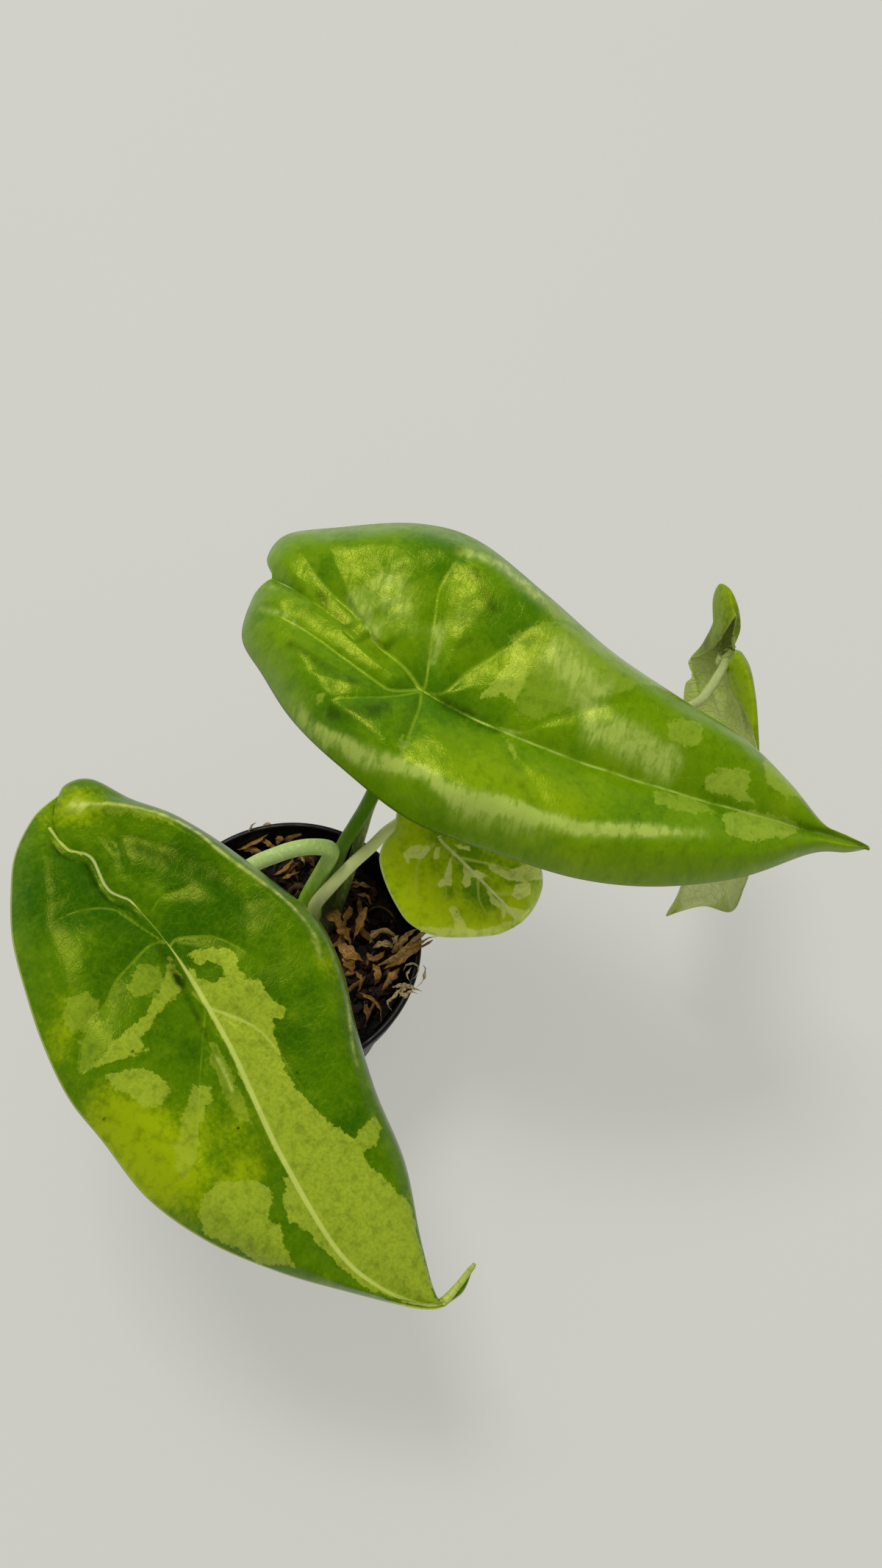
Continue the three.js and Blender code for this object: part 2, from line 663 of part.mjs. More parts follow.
function placedChip({ geometry, turn, place }, grow = 0) {
  geometry.computeBoundingBox();
  const size = geometry.boundingBox.getSize(new THREE.Vector3());
  const scale = size.clone().addScalar(2 * grow).divide(size);
  const matrix = new THREE.Matrix4().compose(place, new THREE.Quaternion().setFromEuler(turn), scale);
  return solidOf(geometry.clone().applyMatrix4(matrix));
}

const joined = (solids) => solids.reduce((whole, solid) => whole.add(solid));
const largest = (solid) => solid.decompose().reduce((a, b) => (a.volume() > b.volume() ? a : b));

const plant = new THREE.Group();

function addMesh(name, geometry, color, roughness) {
  const material = new THREE.MeshStandardMaterial({ color, roughness, metalness: 0 });
  const mesh = new THREE.Mesh(geometry, material);
  mesh.name = name;
  plant.add(mesh);
}

addMesh('pot', pot(), potColour, 0.35);

const chips = barkChips();
const stalkNames = Object.keys(stalks);
const stalkHoles = joined(stalkNames.map((name) => solidOf(stalk(name, clearance))));
const crownHole = solidOf(crownBody(clearance));
const mix = joined([
  solidOf(mixBody(0, mixRadius, mixBottomRadius, mixBottom)),
  ...chips.map((chip) => placedChip(chip)),
]).subtract(crownHole).subtract(stalkHoles);
addMesh('potting_mix', geometryOf(largest(mix)), mixColour, 0.95);

const underMoss = joined([
  solidOf(mixBody(clearance, mixRadius, mixRadius, mixBottom)),
  ...chips.map((chip) => placedChip(chip, clearance)),
  crownHole,
  stalkHoles,
]);
const strands = [...mossStrands(), ...rimStrands.map(overRim)];
const moss = joined([mossMat(), ...strands].map(solidOf)).subtract(underMoss);
addMesh('moss', geometryOf(largest(moss)), mossColour, 0.95);

addMesh('stem_base', geometryOf(solidOf(crownBody(0)).subtract(stalkHoles)), crownColour, 0.6);

for (const [name, leaf] of Object.entries(leaves)) {
  addMesh(`leaf_${name}`, blade(leaf), leaf.colour, 0.3);
  const cutters = junctionCutters(leaf).map(solidOf);
  const petiole = cutters.reduce((rest, cutter) => rest.subtract(cutter), solidOf(stalk(name)));
  addMesh(`petiole_${name}`, geometryOf(largest(petiole)), stalkColour, 0.4);
}

export default plant;
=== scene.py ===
import math
import random

import bmesh
import bpy
import numpy as np
from mathutils import Matrix, Vector, kdtree, noise


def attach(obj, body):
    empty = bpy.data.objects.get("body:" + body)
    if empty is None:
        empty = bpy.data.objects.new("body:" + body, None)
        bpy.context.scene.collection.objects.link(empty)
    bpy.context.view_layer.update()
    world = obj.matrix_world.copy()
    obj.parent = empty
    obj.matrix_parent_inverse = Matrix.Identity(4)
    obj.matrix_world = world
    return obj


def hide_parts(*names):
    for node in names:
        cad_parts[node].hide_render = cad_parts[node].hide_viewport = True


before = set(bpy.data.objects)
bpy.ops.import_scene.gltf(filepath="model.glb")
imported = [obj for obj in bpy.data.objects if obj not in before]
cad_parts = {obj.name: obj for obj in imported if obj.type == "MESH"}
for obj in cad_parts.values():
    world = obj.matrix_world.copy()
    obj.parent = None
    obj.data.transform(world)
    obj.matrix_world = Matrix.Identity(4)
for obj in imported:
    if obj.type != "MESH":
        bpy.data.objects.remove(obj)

mm = 0.001
noise.seed_set(11)              # without this, noise_vector differs from run to run
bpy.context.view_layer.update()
scene = bpy.context.scene

# Camera: where the photograph was taken from, found from the pot's rim.
view = {
    "place": (51.524 * mm, -192.56 * mm, 558.832 * mm),
    "lookDown": 62.796,       # degrees below level, towards +Y
    "lens": 36.0,             # with a 36 mm sensor on the long side
    "width": 1200,
    "height": 2133,
}


def viewAxes():
    tilt = math.radians(view["lookDown"])
    right = np.array([1.0, 0.0, 0.0])
    ahead = np.array([0.0, math.cos(tilt), -math.sin(tilt)])
    return right, np.cross(right, ahead), ahead


def toPhoto(points):
    # pixel places of points given in metres
    right, up, ahead = viewAxes()
    seen = np.asarray(points) - np.array(view["place"])
    depth = seen @ ahead
    focal = view["height"]
    x = view["width"] / 2 + focal * (seen @ right) / depth
    y = view["height"] / 2 - focal * (seen @ up) / depth
    return np.stack([x, y], axis=-1)


def fromPhoto(x, y, height):
    # the point at this height (mm) that lies behind a pixel
    right, up, ahead = viewAxes()
    focal = view["height"]
    ray = ahead + right * (x - view["width"] / 2) / focal - up * (y - view["height"] / 2) / focal
    place = np.array(view["place"])
    return Vector(place + ray * (height * mm - place[2]) / ray[2])


def addCamera():
    data = bpy.data.cameras.new("photoCamera")
    data.lens = view["lens"]
    data.sensor_width = 36.0
    data.clip_start = 0.01
    data.clip_end = 30.0
    camera = bpy.data.objects.new("photoCamera", data)
    camera.location = view["place"]
    camera.rotation_euler = (math.radians(90 - view["lookDown"]), 0, 0)
    scene.collection.objects.link(camera)
    scene.camera = camera


# Small helpers for meshes and materials.
def addPiece(name, bm, materials, smooth=True):
    mesh = bpy.data.meshes.new(name)
    bm.to_mesh(mesh)
    bm.free()
    piece = bpy.data.objects.new(name, mesh)
    scene.collection.objects.link(piece)
    for material in materials:
        mesh.materials.append(material)
    mesh.polygons.foreach_set("use_smooth", [smooth] * len(mesh.polygons))
    return piece


def dress(piece, slot, *nodes):
    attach(piece, "root")
    if nodes:
        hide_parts(*nodes)


class Shader:
    # a material with one Principled shader, and short calls to wire nodes into it
    def __init__(self, name, roughness, specular=0.5):
        self.material = bpy.data.materials.new(name)
        self.material.use_nodes = True
        self.tree = self.material.node_tree
        self.surface = self.tree.nodes["Principled BSDF"]
        self.surface.inputs["Roughness"].default_value = roughness
        self.surface.inputs["Specular IOR Level"].default_value = specular
        self.objectPlace = self.add("ShaderNodeTexCoord").outputs["Object"]

    def add(self, kind, **settings):
        node = self.tree.nodes.new(kind)
        for key, value in settings.items():
            setattr(node, key, value)
        return node

    def feed(self, socket, value):
        if isinstance(value, bpy.types.NodeSocket):
            self.tree.links.new(value, socket)
        elif value is not None:
            socket.default_value = value

    def attribute(self, name):
        return self.add("ShaderNodeAttribute", attribute_name=name).outputs["Fac"]

    def scaled(self, place, size):
        node = self.add("ShaderNodeMapping")
        self.feed(node.inputs["Vector"], place)
        node.inputs["Scale"].default_value = size
        return node.outputs["Vector"]

    def noise(self, scale, detail=3, place=None, roughness=0.55, distortion=0.0):
        node = self.add("ShaderNodeTexNoise")
        self.feed(node.inputs["Vector"], place or self.objectPlace)
        node.inputs["Scale"].default_value = scale
        node.inputs["Detail"].default_value = detail
        node.inputs["Roughness"].default_value = roughness
        node.inputs["Distortion"].default_value = distortion
        return node.outputs["Fac"]

    def noiseColour(self, scale, place):
        node = self.add("ShaderNodeTexNoise")
        self.feed(node.inputs["Vector"], place)
        node.inputs["Scale"].default_value = scale
        return node.outputs["Color"]

    def math(self, operation, a, b=None, c=None):
        node = self.add("ShaderNodeMath", operation=operation)
        for socket, value in zip(node.inputs, (a, b, c)):
            self.feed(socket, value)
        return node.outputs["Value"]

    def ramp(self, value, low, high, start=0.0, end=1.0):
        # a soft step: start at or below low, end at or above high
        node = self.add("ShaderNodeMapRange", interpolation_type="SMOOTHSTEP")
        self.feed(node.inputs["Value"], value)
        node.inputs["From Min"].default_value = low
        node.inputs["From Max"].default_value = high
        node.inputs["To Min"].default_value = start
        node.inputs["To Max"].default_value = end
        return node.outputs["Result"]

    def mix(self, amount, a, b):
        node = self.add("ShaderNodeMix", data_type="RGBA")
        self.feed(node.inputs["Factor"], amount)
        self.feed(node.inputs[6], a)
        self.feed(node.inputs[7], b)
        return node.outputs[2]

    def finish(self, colour, bump=None, bumpDepth=0.0, roughness=None):
        self.feed(self.surface.inputs["Base Color"], colour)
        self.feed(self.surface.inputs["Roughness"], roughness)
        if bump is not None:
            node = self.add("ShaderNodeBump")
            node.inputs["Strength"].default_value = 1.0
            node.inputs["Distance"].default_value = bumpDepth
            self.feed(node.inputs["Height"], bump)
            self.feed(self.surface.inputs["Normal"], node.outputs["Normal"])
        return self.material


def rgb(red, green, blue):
    return (red, green, blue, 1.0)


def shaded(colour, amount):
    return rgb(*[part * amount for part in colour])


def evenly(route, count):
    # count points at even steps along a smooth curve through the route
    dense = catmull(route, np.linspace(0, 1, 40 * len(route)))
    travelled = np.concatenate([[0], np.cumsum(np.linalg.norm(np.diff(dense, axis=0), axis=1))])
    wanted = np.linspace(0, travelled[-1], count)
    return np.stack([np.interp(wanted, travelled, dense[:, k]) for k in range(dense.shape[1])], axis=-1)


def catmull(points, u):
    # the smooth curve through the points, at places u from 0 to 1
    p = np.asarray(points, float)
    last = len(p) - 1
    x = np.clip(u, 0, 1) * last
    i = np.minimum(x.astype(int), last - 1)
    t = (x - i)[:, None]
    p0, p1, p2, p3 = p[np.maximum(i - 1, 0)], p[i], p[i + 1], p[np.minimum(i + 2, last)]
    v0, v1 = (p2 - p0) * 0.5, (p3 - p1) * 0.5
    return (2 * p1 - 2 * p2 + v0 + v1) * t**3 + (-3 * p1 + 3 * p2 - 2 * v0 - v1) * t**2 + v0 * t + p1


def sweepTube(route, rings, sides, sizeAt, startTwist=0.0, twist=0.0, thin=1.0, curl=0.0):
    # a closed tube along a route in metres; sizeAt(share) gives its half width and half height,
    # thin flattens its section and curl bends it like a gutter
    centres = [Vector(c) for c in evenly([list(p) for p in route], rings)]
    bm = bmesh.new()
    bm.verts.layers.float.new("along")
    across = bm.verts.layers.float.new("across")
    # the second layer moves the first, so that one is looked up again
    along = bm.verts.layers.float["along"]
    ring = bmesh.ops.create_circle(bm, cap_ends=True, segments=sides, radius=1.0)["verts"]
    for vert in ring:
        vert[across] = vert.co.x
        vert.co.y = thin * vert.co.y + curl * (0.5 - vert.co.x**2)
    edges = list(bm.edges)
    side = None
    before = Matrix.Identity(4)
    verts = ring
    for i, centre in enumerate(centres):
        ahead = (centres[min(i + 1, rings - 1)] - centres[max(i - 1, 0)]).normalized()
        if side is None:
            level = ahead.cross(Vector((0, 0, 1)))
            side = level.normalized() if level.length > 0.4 else ahead.orthogonal().normalized()
        side = (side - ahead * side.dot(ahead)).normalized()
        share = i / (rings - 1)
        turned = Matrix.Rotation(startTwist + twist * share, 3, ahead) @ side
        frameNow = Matrix((turned, ahead.cross(turned), ahead)).transposed().to_4x4()
        wide, high = sizeAt(share)
        now = Matrix.Translation(centre) @ frameNow @ Matrix.Diagonal((wide, high, wide, 1))
        if i > 0:
            grown = bmesh.ops.extrude_edge_only(bm, edges=edges)["geom"]
            verts = [g for g in grown if isinstance(g, bmesh.types.BMVert)]
            fresh = set(verts)
            edges = [g for g in grown if isinstance(g, bmesh.types.BMEdge) and fresh.issuperset(g.verts)]
        bmesh.ops.transform(bm, matrix=now @ before.inverted(), verts=verts)
        for vert in verts:
            vert[along] = share
        before = now
    bmesh.ops.contextual_create(bm, geom=edges)
    bmesh.ops.recalc_face_normals(bm, faces=bm.faces)
    return bm


def gather(parts):
    # joins several small bmeshes into one
    whole = bmesh.new()
    for part in parts:
        mesh = bpy.data.meshes.new("part")
        part.to_mesh(mesh)
        part.free()
        whole.from_mesh(mesh)
        bpy.data.meshes.remove(mesh)
    return whole


# What the blades share. Lengths are in mm on the flat blade.
bladeSkin = {
    "veinSteps": 160, "lineSteps": 120, "ribSteps": 500,
    "foldAt": 0.7,              # share of a half blade that stays flat where its margin turns back
    "swellReach": 13, "veinReach": 5.5, "ribReach": 6,
    "noPatch": 8.0, "noSpeck": 9.0,
    "ribKeel": (1.5, 1.4), "veinKeel": (0.6, 0.9), "stalkKeel": (2.2, 3.2),      # height and width
    "netSize": (0.5, 0.38, 1), "netShare": 0.08, "spotShare": 0.35, "lightShare": 0.16,
    "upperBump": 0.45, "underBump": 0.12, "speckColour": (0.02, 0.03, 0.002),
}

# Leaves: each blade is drawn flat in mm from its stalk's end, (towards the tip, to the left).
# Veins, creases, strokes, patches, tones and specks are places on the photograph, in pixels.
# The strokes are painted sheens and painted shade (on the folded leaf also veins), the tones are partly
# the leaf's own patchy green and partly painted shade and painted highlight, and a few patches paint
# sheens.
leafFront = {
    "name": "leafFront", "node": "leaf_front", "rows": 250, "columns": 60, "skin": 0.75,
    "junction": (-31.5, -22, 125), "heading": -49.3, "dip": 12, "bank": -6,
    "tipDroop": 14, "tipLength": 130, "lobeDroop": 4, "lobeLength": 55, "tipCurl": (8, 0.88),
    "crest": (4.5, 4), "crestAt": (0.82, 0.62), "drop": ((8, 5), (3.5, 5)),
    "wave": ((0.8, 2, 0), (1.5, 2.6, 0.25)),
    "split": (0.27, 0.1), "tuck": (1, 1.8, 0.06), "bulge": 2.6, "waves": 0.45,
    "seam": [(-48.2, -4.6), (-44.8, -4.8), (-41.1, -4.8), (-38.6, -4.2), (-36.5, -2.0), (-34.6, -0.7),
             (-32.1, -0.4), (-28.0, -1.4), (-24.2, -2.3), (-21.2, -2.3), (-18.5, -1.1), (-16.1, 0.3),
             (-13.5, 0.8)],
    "ribForce": [(0, 0.45), (0.2, 0.36), (0.26, 0.28), (0.285, 0.06), (0.35, 0.08), (0.42, 0.7), (0.6, 0.8),
                 (0.9, 0.45), (1, 0.25)],
    "midrib": [(-48.5, -4), (-37.5, -3), (-17, 0.5), (6, 1), (37, -3), (72, -10.5), (107.5, -13),
               (131.5, -1), (130.5, 14.5)],
    "left": [(-54.5, 2), (-58.9, 8.4), (-56, 16.2), (-43.3, 22.1), (-30.7, 29.8), (-14.2, 35.9), (4, 40.7),
             (21.7, 44.1), (38.7, 40.2), (53.5, 33), (73.5, 25), (95.5, 19), (116.5, 8.5), (132, 2.2),
             (132.3, 8.9), (130.7, 14.3)],
    "right": [(-56.9, 4.8), (-55.2, -5.4), (-49, -16.5), (-40, -24.5), (-27, -33), (-11, -39.5),
              (4.5, -44.5), (20.5, -47.5), (36, -47), (56.5, -46.5), (76.5, -40.5), (95, -30.5),
              (110.5, -19.5), (130.5, -3.3), (135.2, 7.7), (131, 14.3)],
    "veins": [
        [(224, 1283), (170, 1248), (154, 1239), (128, 1238), (102, 1242), (80, 1253), (61, 1270),
         (42, 1293)],
        [(218, 1277), (192, 1261), (160, 1235), (138, 1219), (118, 1200), (106, 1187), (93, 1181)],
        [(224, 1283), (205, 1286), (179, 1312), (157, 1338), (141, 1370), (122, 1389), (109, 1424),
         (107, 1472), (106, 1517)],
        [(192, 1240), (173, 1203), (165, 1174), (157, 1149), (142, 1136)],
        [(232, 1286), (243, 1278), (272, 1275), (294, 1277), (323, 1290), (352, 1312)],
        [(206, 1240), (221, 1222), (250, 1210), (272, 1197), (288, 1189)],
        [(262, 1350), (282, 1370), (307, 1379), (346, 1398), (378, 1430), (400, 1469), (416, 1488)],
        [(272, 1345), (278, 1376), (275, 1424), (272, 1472), (268, 1540), (268, 1604), (276, 1640),
         (296, 1672)],
        [(333, 1469), (372, 1490), (414, 1530), (452, 1580), (486, 1640)],
        [(380, 1572), (372, 1610), (376, 1660), (392, 1700)],
        [(428, 1652), (470, 1664), (510, 1692), (540, 1720)],
    ],
    "veinForces": [0.8, 0.35, 0.8, 0.3, 0.8, 0.5, 1, 0.6, 0.35, 0.3, 0.3],
    # height and half width in mm, then the line
    "creases": [
        (
            2.0, 2.6,
            [(90, 1100), (130, 1100), (173, 1101), (215, 1112), (245, 1127), (270, 1142), (300, 1162),
             (330, 1183), (360, 1207), (385, 1232), (405, 1255), (425, 1285)],
        ),
        (
            -1.5, 4.6,
            [(120, 1133), (165, 1140), (200, 1148), (240, 1162), (280, 1182), (310, 1203), (335, 1232),
             (355, 1268)],
        ),
        (-0.5, 1.8, [(142, 1136), (157, 1150), (165, 1174), (173, 1203)]),
        (
            -1.1, 1.3,
            [(62, 1134), (72, 1150), (84, 1164), (98, 1170), (110, 1172), (118, 1178), (128, 1196),
             (136, 1212), (148, 1226), (162, 1232), (178, 1238), (190, 1250), (197, 1262)],
        ),
    ],
    # painted highlights along ridges and margins, painted shade in creases and beside the seam: half width
    # in mm, strength from painted shade (-1) to painted highlight (1), then the line
    "sheenShadeAndVeinStrokes": [
        (
            0.85, 0.75,
            [(80, 1098), (120, 1099), (173, 1101), (215, 1110), (262, 1132), (300, 1163), (350, 1200),
             (400, 1240), (440, 1290)],
        ),
        (2.2, 0.45, [(95, 1090), (105, 1098), (114, 1108)]),
        (1.2, 0.4, [(420, 1262), (430, 1290), (434, 1312)]),
        (
            4.5, -0.4,
            [(125, 1140), (165, 1146), (200, 1153), (240, 1166), (280, 1186), (310, 1208), (330, 1235)],
        ),
        (
            0.9, -0.6,
            [(62, 1134), (72, 1150), (84, 1164), (98, 1170), (110, 1172), (118, 1178), (128, 1196),
             (136, 1212), (148, 1226), (162, 1232), (178, 1238), (190, 1250), (197, 1262)],
        ),
        (2.6, -0.4, [(205, 1275), (232, 1310), (255, 1350)]),
        (1.2, -0.5, [(228, 1312), (256, 1362), (290, 1430)]),
        (0.8, 0.5, [(470, 1340), (474, 1380), (478, 1420), (486, 1460)]),
        (0.7, 0.6, [(290, 1432), (306, 1462), (318, 1492)]),
    ],
    "patches": [
        (
            [(256, 1296), (290, 1290), (320, 1296), (322, 1318), (333, 1333), (352, 1338), (365, 1357),
             (387, 1373), (384, 1389), (371, 1386), (373, 1405), (384, 1453), (400, 1480), (420, 1504),
             (452, 1532), (480, 1552), (504, 1588), (532, 1616), (556, 1636), (592, 1780), (560, 1775),
             (520, 1760), (488, 1738), (456, 1698), (428, 1658), (400, 1612), (380, 1576), (356, 1522),
             (330, 1470), (310, 1428), (292, 1392), (272, 1352), (258, 1325)],
            0.95,
        ),
        (
            [(384, 1600), (388, 1616), (384, 1636), (392, 1660), (420, 1682), (440, 1700), (464, 1724),
             (490, 1748), (520, 1762), (470, 1700), (430, 1650), (404, 1608)],
            0.95,
        ),
        (
            [(230, 1302), (238, 1318), (250, 1344), (237, 1360), (218, 1376), (205, 1395), (192, 1414),
             (198, 1430), (179, 1440), (154, 1446), (128, 1459), (110, 1462), (134, 1440), (150, 1424),
             (179, 1398), (198, 1386), (208, 1360), (222, 1340)],
            0.85,
        ),
        ([(180, 1322), (194, 1312), (216, 1316), (222, 1336), (206, 1356), (186, 1358), (172, 1344)], 0.5),
        ([(90, 1362), (108, 1352), (136, 1360), (132, 1386), (114, 1402), (94, 1406), (84, 1390)], 0.5),
        ([(126, 1386), (150, 1392), (157, 1410), (144, 1436), (120, 1460), (108, 1450), (110, 1416)], 0.45),
        (
            [(140, 1464), (180, 1456), (212, 1462), (236, 1486), (212, 1506), (192, 1512), (176, 1492),
             (156, 1486)],
            0.85,
        ),
        (
            [(262, 1478), (284, 1480), (288, 1496), (270, 1532), (268, 1580), (252, 1604), (236, 1590),
             (240, 1556), (250, 1520)],
            0.75,
        ),
        (
            [(276, 1628), (296, 1612), (336, 1608), (368, 1616), (370, 1636), (366, 1660), (380, 1668),
             (384, 1692), (400, 1722), (370, 1722), (320, 1700), (280, 1680), (270, 1655)],
            0.85,
        ),
        ([(264, 1316), (284, 1310), (300, 1316), (306, 1330), (288, 1338), (270, 1331)], -1),
        ([(236, 1296), (262, 1304), (270, 1322), (256, 1318)], -1),
        # painted reflection: the pale bluish strip beside the midrib
        (
            [(284, 1416), (298, 1424), (316, 1462), (334, 1500), (344, 1532), (326, 1528), (304, 1490),
             (288, 1450)],
            0.5,
        ),
        ([(512, 1518), (518, 1532), (508, 1560), (488, 1572), (480, 1556), (492, 1534)], 0.8),
        # painted highlight along the rolled top of the lobe
        (
            [(74, 1100), (100, 1096), (150, 1098), (200, 1106), (240, 1118), (240, 1128), (180, 1112),
             (120, 1110), (88, 1112)],
            0.4,
        ),
    ],
    "tonesShadeAndHighlight": [(190, 1560, 62, 0.85), (300, 1545, 50, 0.15), (230, 1610, 45, 0.6), (330, 1600, 30, 0.9),
              (232, 1160, 26, -0.3), (330, 1180, 22, 0.25), (390, 1400, 40, -0.25), (120, 1235, 26, -0.5),
              (70, 1230, 34, -0.9), (425, 1345, 20, -0.4), (350, 1230, 26, -0.3), (160, 1520, 30, 0.6),
              (110, 1085, 34, 0.55), (410, 1270, 38, 0.35), (452, 1310, 24, 0.35), (80, 1350, 34, 0.4),
              (90, 1420, 30, 0.4), (60, 1110, 16, 0.3), (230, 1118, 30, 0.35), (65, 1210, 24, -0.6),
              (115, 1192, 20, -0.6), (190, 1172, 30, -0.7), (250, 1182, 28, -0.7), (290, 1225, 40, -0.5),
              (190, 1290, 40, -0.7), (240, 1420, 36, -0.5), (50, 1165, 26, -0.3), (430, 1430, 50, -0.25),
              (340, 1700, 40, -0.35), (470, 1530, 40, -0.55), (330, 1255, 30, -0.4), (150, 1345, 20, -0.4),
              (260, 1270, 26, -0.4), (140, 1255, 24, -0.2), (350, 1340, 26, -0.3)],
    "specks": [(233, 1211, 5), (273, 1223, 4), (152, 1460, 3), (403, 1462, 8), (373, 1461, 3),
               (324, 1536, 7), (254, 1480, 6), (142, 1523, 8), (108, 1336, 4), (455, 1537, 5),
               (179, 1433, 9), (60, 1378, 3)],
    "feel": {"ior": 1.3, "ragged": 1.0, "mottle": 0.7, "ridges": 0.3, "gloss": 0.2, "rib": (0.85, 0.9)},
    "colours": {
        "deep": (0.026, 0.112, 0.0002), "bright": (0.085, 0.2, 0.0003), "yellow": (0.33, 0.44, 0.002),
        "cream": (0.38, 0.485, 0.032), "vein": (0.3, 0.42, 0.016), "midrib": (0.58, 0.67, 0.14),
        "edge": (0.6, 0.68, 0.18), "under": (0.2, 0.3, 0.045),
    },
}

